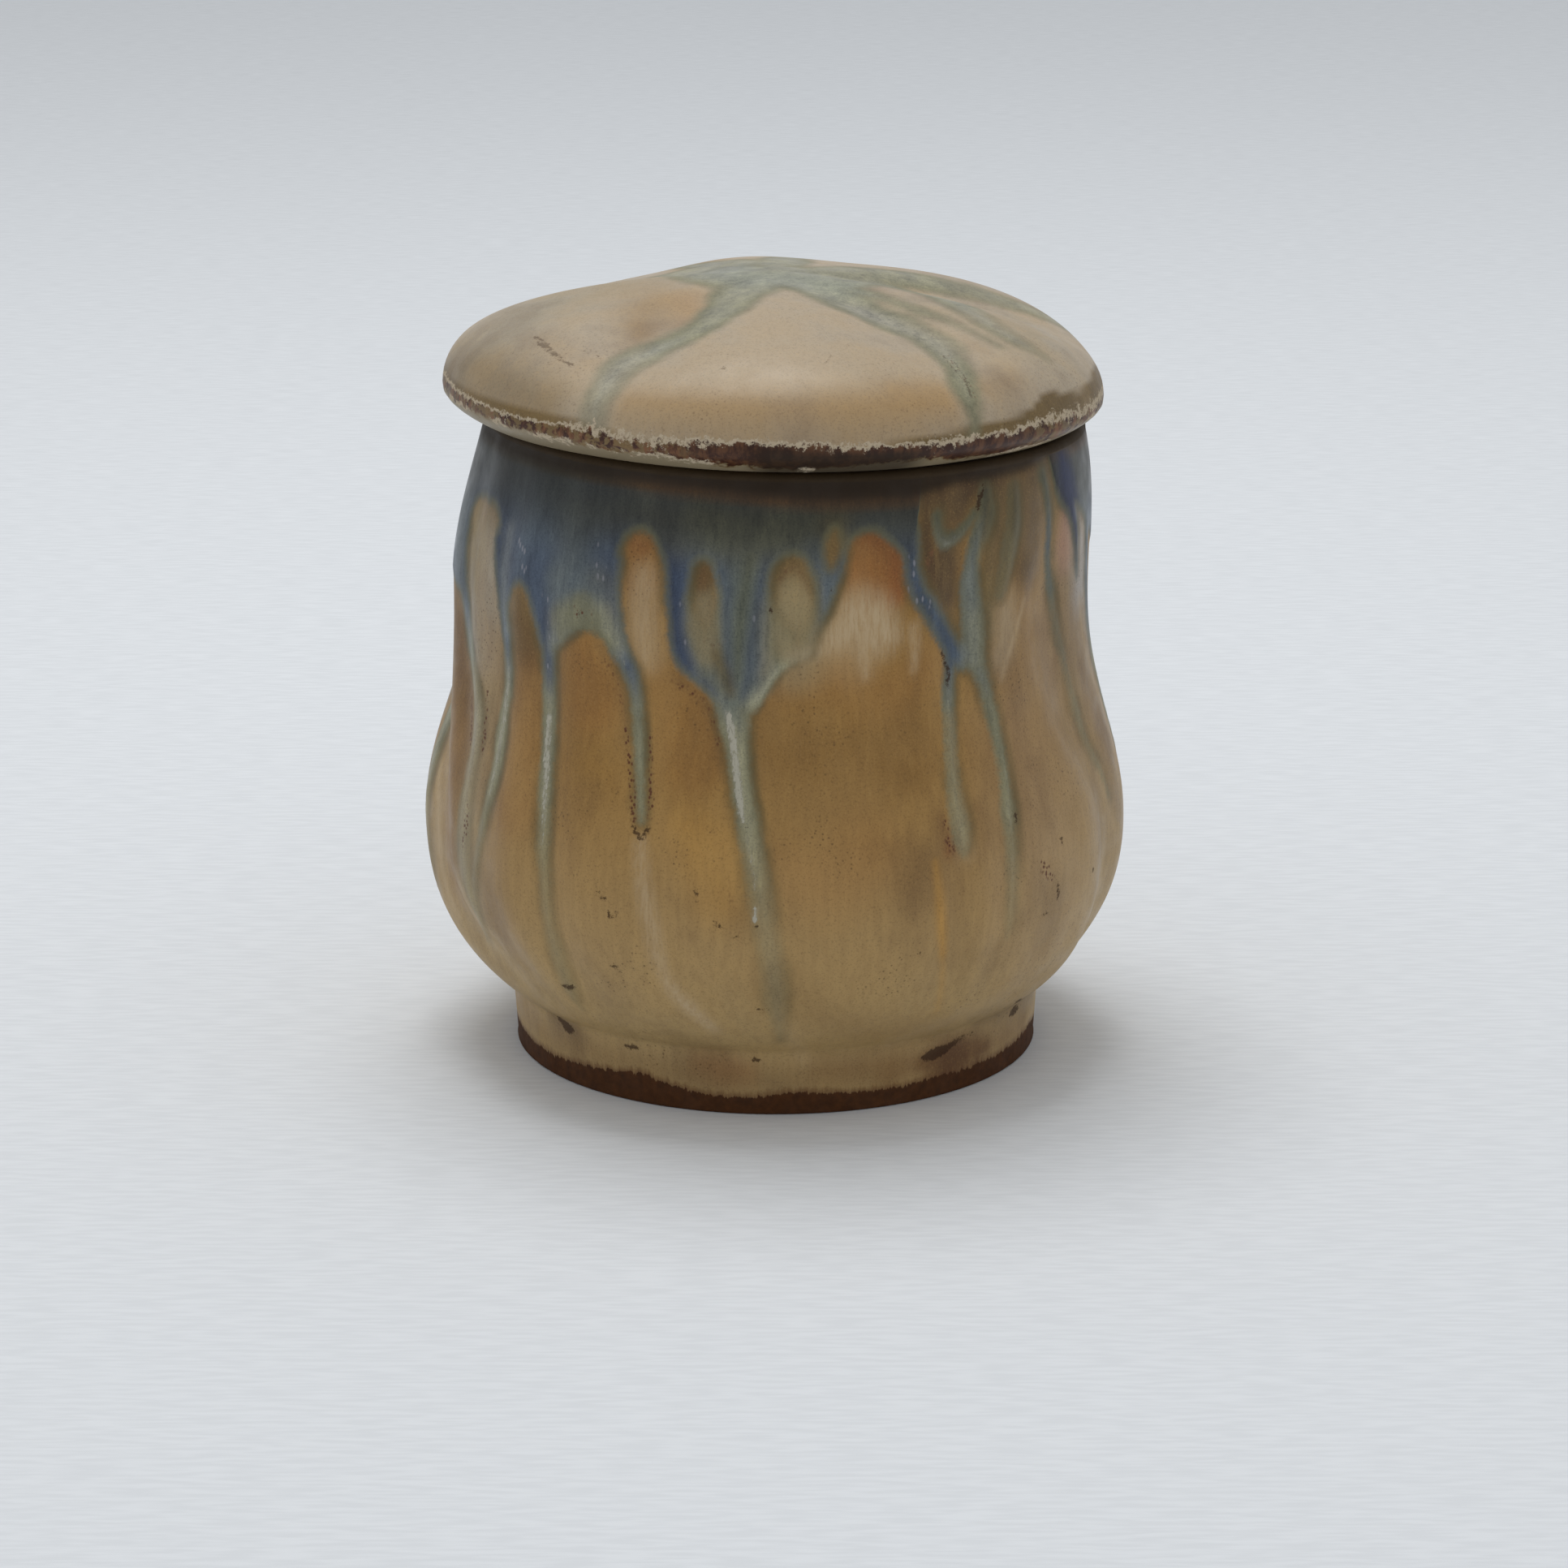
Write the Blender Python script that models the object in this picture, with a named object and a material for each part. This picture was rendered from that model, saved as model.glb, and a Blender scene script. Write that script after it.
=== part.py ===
"""A small stoneware jar with a lift-off lid, as two separate fired pieces.

The jar is thrown round, stands on a turned foot ring, and has soft upright folds pressed into its
outside. The lid is a lobed cap without a knob. A locating ring under it drops into the jar's
mouth and keeps it centred, and it lifts straight off.

Units are metres and +Z is up. The jar stands on z = 0, centred on the origin. Azimuths are in
degrees from the front (-Y), and grow towards +X.
"""

import math

import bmesh
import bpy

SEGMENTS = 88

# Foot
FOOT_RADIUS = 0.0443
FOOT_TOP_RADIUS = 0.0450
FOOT_HEIGHT = 0.0110
FOOT_OFFSET = 0.0003
FOOT_RING_WIDTH = 0.0060
FOOT_EDGE = 0.0006
RECESS_DEPTH = 0.0035

# Body, as it was thrown
BELLY_RADIUS = 0.0594
BELLY_HEIGHT = 0.0385
WAIST_RADIUS = 0.0533
WAIST_HEIGHT = 0.0800
WAIST_OFFSET = -0.0005
RIM_RADIUS = 0.0498
RIM_HEIGHT = 0.1081
RIM_OFFSET = 0.0019
RIM_EDGE = 0.0015
WALL = 0.0062
FLOOR = 0.0070
FLOOR_CORNER = 0.0090

# Lid, with heights over its seat on the rim
LID_OVERHANG = 0.0051
LID_OFFSET = 0.0002
LID_HEIGHT = 0.0229
LID_EDGE_HEIGHT = 0.0040
LID_EDGE_ROLL = 0.0049
LID_WALL = 0.0055
SEAT_GAP = 0.0003

# Locating ring under the lid
RING_DEPTH = 0.0065
RING_WALL = 0.0045
RING_CLEARANCE = 0.0012
RING_EDGE = 0.0010

# The rim and the lid on it lean down towards +X by this much, rise over run
TILT = 0.018

# Folds pressed into the jar: azimuth at the waist, at the belly and at the foot, depth, and
# half width in degrees
FOLDS = (
    (-100, -75, -56, 0.0027, 9),
    (-72, -61, -52, 0.0012, 5),
    (-56, -55, -44, 0.0012, 5),
    (-44, -39, -32, 0.0013, 5),
    (-28, -19, -6, 0.0011, 5),
    (-13, -2, 4, 0.0013, 5),
    (33, 31, 31, 0.0011, 5),
    (37, 40, 39, 0.0012, 4),
    (58, 73, 76, 0.0018, 6),
    (96, 108, 102, 0.0018, 7),
    (116, 123, 120, 0.0014, 6),
    (135, 140, 141, 0.0015, 7),
    (156, 157, 158, 0.0013, 6),
    (175, 177, 180, 0.0015, 7),
    (196, 197, 198, 0.0014, 6),
    (214, 219, 222, 0.0016, 7),
    (236, 246, 252, 0.0015, 7),
)
# Share of each fold that dies out between the waist and the rim
FOLD_FADE = 0.85

# Valleys and, with a minus, swells of the lid: azimuth, depth, and half width in degrees
VALLEYS = (
    (-33, 0.0022, 16),
    (38, 0.0020, 15),
    (106, 0.0018, 17),
    (176, 0.0010, 20),
    (-118, 0.0038, 28),
    (-74, -0.0022, 16),
    (72, -0.0010, 15),
)
# Share of a valley's depth that shows in the lid's outline
VALLEY_OUTLINE = 0.3

BODY_GLAZE = {"color": (0.30, 0.19, 0.10), "roughness": 0.55}
LID_GLAZE = {"color": (0.38, 0.28, 0.18), "roughness": 0.50}


def bezier(start, handle_a, handle_b, end, count):
    """Points on a cubic curve, from just after start up to end."""
    corners = (start, handle_a, handle_b, end)
    points = []
    for i in range(1, count + 1):
        t = i / count
        weights = ((1 - t) ** 3, 3 * t * (1 - t) ** 2, 3 * t * t * (1 - t), t**3)
        radius = sum(w * corner[0] for w, corner in zip(weights, corners))
        height = sum(w * corner[1] for w, corner in zip(weights, corners))
        points.append((radius, height))
    return points


def rounded_corner(start, corner, end, count):
    """Points on a quarter ellipse that rounds the corner, from just after start up to end."""
    points = []
    for i in range(1, count + 1):
        turn = math.pi / 2 * i / count
        to_start = 1 - math.sin(turn)
        to_end = 1 - math.cos(turn)
        radius = corner[0] + (start[0] - corner[0]) * to_start + (end[0] - corner[0]) * to_end
        height = corner[1] + (start[1] - corner[1]) * to_start + (end[1] - corner[1]) * to_end
        points.append((radius, height))
    return points


def smooth(value):
    """0 below 0, 1 above 1, and an even S between them."""
    value = min(1.0, max(0.0, value))
    return value * value * (3 - 2 * value)


def share_up(height, low, high):
    return (height - low) / (high - low)


def along(height, stations):
    """The smooth value at this height between stations, each a height and its value."""
    for (low, a), (high, b) in zip(stations, stations[1:]):
        if height <= high:
            return a + (b - a) * smooth(share_up(height, low, high))
    return stations[-1][1]


def apart(azimuth, other):
    """The degrees between two azimuths, the short way round."""
    return abs((azimuth - other + 180) % 360 - 180)


def bump(azimuth, middle, spread):
    """1 at the middle, dying out over the spread to both sides."""
    return math.exp(-((apart(azimuth, middle) / spread) ** 2))


def azimuths():
    return [360 * i / SEGMENTS for i in range(SEGMENTS)]


def mouth_radius():
    return RIM_RADIUS - WALL


def body_outline():
    """The thrown outside of the jar, as (radius, height) from the foot up to below the rim."""
    foot = (FOOT_TOP_RADIUS, FOOT_HEIGHT)
    belly = (BELLY_RADIUS, BELLY_HEIGHT)
    waist = (WAIST_RADIUS, WAIST_HEIGHT)
    rim = (RIM_RADIUS, RIM_HEIGHT - RIM_EDGE)
    bowl = BELLY_HEIGHT - FOOT_HEIGHT
    flank = WAIST_HEIGHT - BELLY_HEIGHT
    neck = RIM_HEIGHT - WAIST_HEIGHT
    flare = BELLY_RADIUS - FOOT_TOP_RADIUS
    taper = WAIST_RADIUS - RIM_RADIUS
    over_foot = (FOOT_TOP_RADIUS + 0.45 * flare, FOOT_HEIGHT + 0.16 * bowl)
    under_belly = (BELLY_RADIUS, BELLY_HEIGHT - 0.52 * bowl)
    over_belly = (BELLY_RADIUS, BELLY_HEIGHT + 0.34 * flank)
    under_waist = (WAIST_RADIUS, WAIST_HEIGHT - 0.52 * flank)
    over_waist = (WAIST_RADIUS, WAIST_HEIGHT + 0.40 * neck)
    under_rim = (RIM_RADIUS + 0.45 * taper, RIM_HEIGHT - 0.30 * neck)
    points = [foot]
    points += bezier(foot, over_foot, under_belly, belly, 8)
    points += bezier(belly, over_belly, under_waist, waist, 8)
    points += bezier(waist, over_waist, under_rim, rim, 5)
    return points


def inner_outline():
    """The inside of the jar, as (radius, height) from below the rim down to the floor."""
    mouth = (mouth_radius(), RIM_HEIGHT - RIM_EDGE)
    waist = (WAIST_RADIUS - WALL, WAIST_HEIGHT)
    belly = (BELLY_RADIUS - WALL, BELLY_HEIGHT)
    corner = (FOOT_TOP_RADIUS - WALL + FLOOR_CORNER / 2, FLOOR)
    corner_top = (corner[0], FLOOR + FLOOR_CORNER)
    floor_edge = (corner[0] - FLOOR_CORNER, FLOOR)
    neck = RIM_HEIGHT - WAIST_HEIGHT
    flank = WAIST_HEIGHT - BELLY_HEIGHT
    bowl = BELLY_HEIGHT - corner_top[1]
    under_mouth = (mouth[0], RIM_HEIGHT - 0.35 * neck)
    over_waist = (waist[0], WAIST_HEIGHT + 0.35 * neck)
    under_waist = (waist[0], WAIST_HEIGHT - 0.50 * flank)
    over_belly = (belly[0], BELLY_HEIGHT + 0.35 * flank)
    under_belly = (belly[0], BELLY_HEIGHT - 0.50 * bowl)
    over_corner = (corner[0] + 0.30 * FLOOR_CORNER, corner_top[1] + 0.30 * bowl)
    points = [mouth]
    points += bezier(mouth, under_mouth, over_waist, waist, 3)
    points += bezier(waist, under_waist, over_belly, belly, 5)
    points += bezier(belly, under_belly, over_corner, corner_top, 4)
    points += rounded_corner(corner_top, corner, floor_edge, 3)
    return points


def jar_centre(height):
    """How far the jar's middle stands off to +X at this height."""
    stations = (
        (0.0, FOOT_OFFSET),
        (BELLY_HEIGHT, 0.0),
        (WAIST_HEIGHT, WAIST_OFFSET),
        (RIM_HEIGHT, RIM_OFFSET),
    )
    return along(height, stations)


def fold_depth(azimuth, height):
    """How deep the folds are here. They start over the foot and die out below the rim."""
    start = smooth(2 * share_up(height, FOOT_HEIGHT, BELLY_HEIGHT))
    end = 1 - FOLD_FADE * smooth(share_up(height, WAIST_HEIGHT, RIM_HEIGHT))
    depth = 0.0
    for at_waist, at_belly, at_foot, deep, spread in FOLDS:
        stations = ((FOOT_HEIGHT, at_foot), (BELLY_HEIGHT, at_belly), (WAIST_HEIGHT, at_waist))
        depth += deep * bump(azimuth, along(height, stations), spread)
    return depth * start * end


def around(azimuth, radius, height, centre):
    """A point at this azimuth round the centre. The lean grows in from the waist to the rim."""
    turn = math.radians(azimuth)
    x = centre + radius * math.sin(turn)
    lean = TILT * smooth(share_up(height, WAIST_HEIGHT, RIM_HEIGHT))
    return x, -radius * math.cos(turn), height - lean * x


def jar_ring(radius, height, folded=False):
    ring = []
    for azimuth in azimuths():
        pressed = fold_depth(azimuth, height) if folded else 0.0
        ring.append(around(azimuth, radius - pressed, height, jar_centre(height)))
    return ring


def build_jar():
    ring_inside = FOOT_RADIUS - FOOT_RING_WIDTH
    recess = ring_inside - RECESS_DEPTH
    rings = [jar_ring(recess / 2, RECESS_DEPTH), jar_ring(recess, RECESS_DEPTH)]
    rings += [jar_ring(ring_inside, 0.0), jar_ring(FOOT_RADIUS - FOOT_EDGE, 0.0)]
    rings.append(jar_ring(FOOT_RADIUS, FOOT_EDGE))
    rings += [jar_ring(radius, height, folded=True) for radius, height in body_outline()]
    rings.append(jar_ring(RIM_RADIUS - RIM_EDGE, RIM_HEIGHT))
    rings.append(jar_ring(mouth_radius() + RIM_EDGE, RIM_HEIGHT))
    inside = inner_outline()
    rings += [jar_ring(radius, height) for radius, height in inside]
    rings.append(jar_ring(inside[-1][0] / 2, FLOOR))
    return loft("jar", rings, (0.0, 0.0, 0.0), BODY_GLAZE)


def lid_outline():
    """The outside of the lid, from the middle of its crown to the edge of its seat, as (share
    of the lid's radius, height over the seat)."""
    rise = LID_HEIGHT - LID_EDGE_HEIGHT
    crown = bezier(
        (0.0, LID_HEIGHT),
        (0.34, LID_HEIGHT - 0.03 * rise),
        (1.0, LID_EDGE_HEIGHT + 0.86 * rise),
        (1.0, LID_EDGE_HEIGHT),
        10,
    )
    roll = LID_EDGE_ROLL / (RIM_RADIUS + LID_OVERHANG)
    edge = bezier(
        (1.0, LID_EDGE_HEIGHT),
        (1.0, 0.55 * LID_EDGE_HEIGHT),
        (1.0 - 0.80 * roll, 0.10 * LID_EDGE_HEIGHT),
        (1.0 - roll, 0.0),
        3,
    )
    return crown + edge


def lid_ring(share, rise):
    """A ring of the lid's skin, at this share of its radius and this height over its seat."""
    # The valleys are deepest two thirds of the way out, where this weight is 1
    weight = 6.75 * share * share * (1 - share) if rise > LID_EDGE_HEIGHT else 0.0
    ring = []
    for azimuth in azimuths():
        dip = sum(deep * bump(azimuth, at, spread) for at, deep, spread in VALLEYS)
        radius = RIM_RADIUS + LID_OVERHANG - VALLEY_OUTLINE * dip
        height = RIM_HEIGHT + SEAT_GAP + rise - weight * dip
        ring.append(around(azimuth, share * radius, height, LID_OFFSET))
    return ring


def build_lid():
    seat = RIM_HEIGHT + SEAT_GAP
    outside = mouth_radius() - RING_CLEARANCE
    inside = outside - RING_WALL
    foot = seat - RING_DEPTH
    ceiling = seat + LID_HEIGHT - LID_WALL
    hollow = ceiling - seat
    underside = [
        (outside, seat),
        (outside, foot + RING_EDGE),
        (outside - RING_EDGE, foot),
        (inside + RING_EDGE, foot),
        (inside, foot + RING_EDGE),
        (inside, seat),
    ]
    underside += bezier(
        (inside, seat),
        (inside, seat + 0.45 * hollow),
        (0.60 * inside, ceiling),
        (0.12 * inside, ceiling),
        6,
    )
    rings = [lid_ring(share, rise) for share, rise in lid_outline()]
    for radius, height in underside:
        rings.append([around(a, radius, height, RIM_OFFSET) for a in azimuths()])
    return loft("lid", rings, (RIM_OFFSET, 0.0, seat), LID_GLAZE)


def loft(name, rings, origin, glaze):
    """Skins the rings in order, and closes the first and the last with a fan of triangles."""
    skin = bmesh.new()
    loops = []
    for ring in rings:
        places = [tuple(p - o for p, o in zip(point, origin)) for point in ring]
        loops.append([skin.verts.new(place) for place in places])
    for lower, upper in zip(loops, loops[1:]):
        for i in range(SEGMENTS):
            k = (i + 1) % SEGMENTS
            skin.faces.new((lower[i], lower[k], upper[k], upper[i]))
    for loop in (loops[0], loops[-1]):
        hub = skin.verts.new([sum(v.co[axis] for v in loop) / SEGMENTS for axis in range(3)])
        for i in range(SEGMENTS):
            skin.faces.new((loop[i], loop[(i + 1) % SEGMENTS], hub))
    bmesh.ops.recalc_face_normals(skin, faces=skin.faces)
    mesh = bpy.data.meshes.new(name)
    skin.to_mesh(mesh)
    skin.free()
    mesh.shade_smooth()
    mesh.set_sharp_from_angle(angle=math.radians(40))
    mesh.materials.append(glaze_material(name + "_glaze", glaze))
    piece = bpy.data.objects.new(name, mesh)
    piece.location = origin
    bpy.context.scene.collection.objects.link(piece)
    return piece


def glaze_material(name, glaze):
    material = bpy.data.materials.new(name)
    material.use_nodes = True
    shader = material.node_tree.nodes["Principled BSDF"]
    shader.inputs["Base Color"].default_value = (*glaze["color"], 1.0)
    shader.inputs["Roughness"].default_value = glaze["roughness"]
    shader.inputs["Metallic"].default_value = 0.0
    return material


def main():
    for old in list(bpy.data.objects):
        bpy.data.objects.remove(old)
    build_jar()
    build_lid()


main()
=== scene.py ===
"""How the stoneware jar looks: its drip glaze, a pale floor, soft light and the camera.

Lengths are metres, as in the frame. Only the places of the glaze pattern are in handier units. On
the jar a place is an azimuth in degrees and a height in millimetres, and on the lid an azimuth and
a reach from the middle in millimetres. Azimuths start at the front (-Y) and grow towards +X. The
colours of the glaze, the clay and the cloth are written as they are seen, 0 to 255.
"""

import math
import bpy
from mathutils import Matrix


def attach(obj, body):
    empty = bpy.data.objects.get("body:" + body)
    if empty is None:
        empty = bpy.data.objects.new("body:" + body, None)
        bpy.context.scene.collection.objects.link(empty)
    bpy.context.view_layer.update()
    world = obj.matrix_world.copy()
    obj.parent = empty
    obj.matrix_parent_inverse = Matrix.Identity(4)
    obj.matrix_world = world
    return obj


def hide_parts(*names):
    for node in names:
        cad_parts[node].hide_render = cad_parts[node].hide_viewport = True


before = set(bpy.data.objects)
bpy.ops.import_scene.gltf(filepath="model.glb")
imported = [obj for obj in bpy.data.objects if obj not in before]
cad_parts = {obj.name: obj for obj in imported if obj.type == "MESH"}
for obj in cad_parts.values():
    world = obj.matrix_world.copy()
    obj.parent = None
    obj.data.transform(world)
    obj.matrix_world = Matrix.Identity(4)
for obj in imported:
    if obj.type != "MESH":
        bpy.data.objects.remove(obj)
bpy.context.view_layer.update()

from types import SimpleNamespace

import bpy
import numpy as np

# The jar's and the lid's real sizes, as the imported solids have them
FOOT_RADIUS = 0.0443
FOOT_TOP_RADIUS = 0.0450
FOOT_HEIGHT = 0.0110
FOOT_OFFSET = 0.0003
FOOT_RING_WIDTH = 0.0060
FOOT_EDGE = 0.0006
RECESS_DEPTH = 0.0035
BELLY_RADIUS = 0.0594
BELLY_HEIGHT = 0.0385
WAIST_RADIUS = 0.0533
WAIST_HEIGHT = 0.0800
WAIST_OFFSET = -0.0005
RIM_RADIUS = 0.0498
RIM_HEIGHT = 0.1081
RIM_OFFSET = 0.0019
RIM_EDGE = 0.0015
WALL = 0.0062
FLOOR = 0.0070
FLOOR_CORNER = 0.0090
LID_OVERHANG = 0.0051
LID_OFFSET = 0.0002
LID_HEIGHT = 0.0229
LID_EDGE_HEIGHT = 0.0040
LID_EDGE_ROLL = 0.0049
LID_WALL = 0.0055
SEAT_GAP = 0.0003
RING_DEPTH = 0.0065
RING_WALL = 0.0045
RING_CLEARANCE = 0.0012
RING_EDGE = 0.0010
TILT = 0.018
# The dressed crown stays this far inside the solid's
CROWN_SINK = 0.00004

# Folds of the jar: azimuth at the waist, at the belly and at the foot, depth, half width
FOLDS = (
    (-100, -75, -56, 0.0027, 9),
    (-72, -61, -52, 0.0012, 5),
    (-56, -55, -44, 0.0012, 5),
    (-44, -39, -32, 0.0013, 5),
    (-28, -19, -6, 0.0011, 5),
    (-13, -2, 4, 0.0013, 5),
    (33, 31, 31, 0.0011, 5),
    (37, 40, 39, 0.0012, 4),
    (58, 73, 76, 0.0018, 6),
    (96, 108, 102, 0.0018, 7),
    (116, 123, 120, 0.0014, 6),
    (135, 140, 141, 0.0015, 7),
    (156, 157, 158, 0.0013, 6),
    (175, 177, 180, 0.0015, 7),
    (196, 197, 198, 0.0014, 6),
    (214, 219, 222, 0.0016, 7),
    (236, 246, 252, 0.0015, 7),
)
FOLD_FADE = 0.85

# Valleys and, with a minus, swells of the lid: azimuth, depth, half width
VALLEYS = (
    (-33, 0.0022, 16),
    (38, 0.002, 15),
    (94, 0.0028, 14),
    (156, 0.0006, 22),
    (-147, 0.0009, 15),
    (-113, 0.0033, 30),
    (-91, -0.0015, 15),
)
VALLEY_OUTLINE = 0.3

# Fineness of the skins. The columns crowd by this many degrees towards the photographed side.
COLUMNS = 512
CROWDING = 18.0
FINE_STEP = 0.0010
COARSE_STEP = 0.0045
CURVE_POINTS = 60
EDGE_POINTS = 20
CORNER_POINTS = 12
RIM_POINTS = 5
RING_POINTS = 4
FOOT_POINTS = 3
# The rings on the rim's rounded top, where painted shadow makes the glaze as dark as below the rim
SHADED_RIM_RINGS = 8

# The glaze pattern. Its distances are in millimetres and are cut off at FAR.
MM = 1000.0
MM_PER_DEGREE = 0.95
FAR = 9.0
# The runs stand this much proud of the thin glaze, and are rounded over this many millimetres
RUN_THICKNESS = 0.00022
RUN_ROUNDING = 2
# The shade beside a run is this many of the mesh's columns to its right
SHADE_COLUMNS = 2

OCHRE = (156, 117, 56)
# Paler ochre towards the foot, partly painted light thrown up from the floor
LOW_OCHRE_AND_PAINTED_LIGHT = (182, 156, 109)
PINK_TAN = (154, 131, 96)
UMBER = (112, 82, 46)
ORANGE = (160, 106, 50)
DEEP_ORANGE = (148, 86, 36)
OLIVE = (98, 80, 44)
# The dark glaze below the rim, with painted shadow of the lid in it
RIM_BROWN_IN_SHADOW = (74, 52, 28)
RIM_OLIVE_IN_SHADOW = (50, 46, 28)
TOP_SLATE = (62, 66, 62)
TOP_OLIVE = (78, 76, 56)
SEPIA = (66, 42, 18)
RUST = (98, 54, 22)
CELADON = (112, 108, 76)
PALE_CELADON = (146, 143, 118)
GREEN_TAN = (140, 130, 98)
GREY_BLUE = (100, 108, 108)
STEEL = (82, 94, 108)
DEEP_BLUE = (56, 68, 92)
SAGE = (92, 94, 74)
LOW_RUN = (150, 140, 108)
# The halo's olive, also the colour of the painted shade beside the runs
HALO_AND_SHADE_OLIVE = (88, 78, 46)
# Pale mist, also the colour of painted highlights
MIST_AND_HIGHLIGHT = (190, 166, 130)
GOLD = (186, 150, 92)
# Golden colour of painted highlights
GOLD_HIGHLIGHT = (206, 152, 62)
ROSE = (170, 128, 112)
SAND = (175, 163, 144)
WARM_SAND = (176, 148, 108)
GREY_SAND = (156, 149, 132)
TAUPE = (140, 114, 78)
LIP_CREAM = (142, 128, 102)
LID_SAGE = (144, 142, 120)
LID_SLATE = (136, 142, 132)
JAR_INSIDE = (150, 124, 86)
LID_INSIDE = (158, 134, 98)
SPECK_GREY = (158, 156, 164)
PORE_BROWN = (88, 42, 16)
STAIN_BROWN = (50, 24, 1)
DARK_IRON = (58, 24, 6)
RUSTY_IRON = (122, 80, 48)
WHOLE_IRON = (50, 20, 4)
SHADOWED_RIM = (34, 20, 1)
CLAY_STAIN = (94, 55, 22)
DARK_CLAY = (40, 18, 2)
PALE_CLAY = (92, 54, 22)
CLOTH_LOW = (222, 227, 233)
CLOTH_HIGH = (228, 233, 239)
# These two scale a colour up and down. The last part of each is its alpha.
PALER = (1.42, 1.40, 1.32, 1.0)
DARKER = (0.56, 0.58, 0.62, 1.0)

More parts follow.
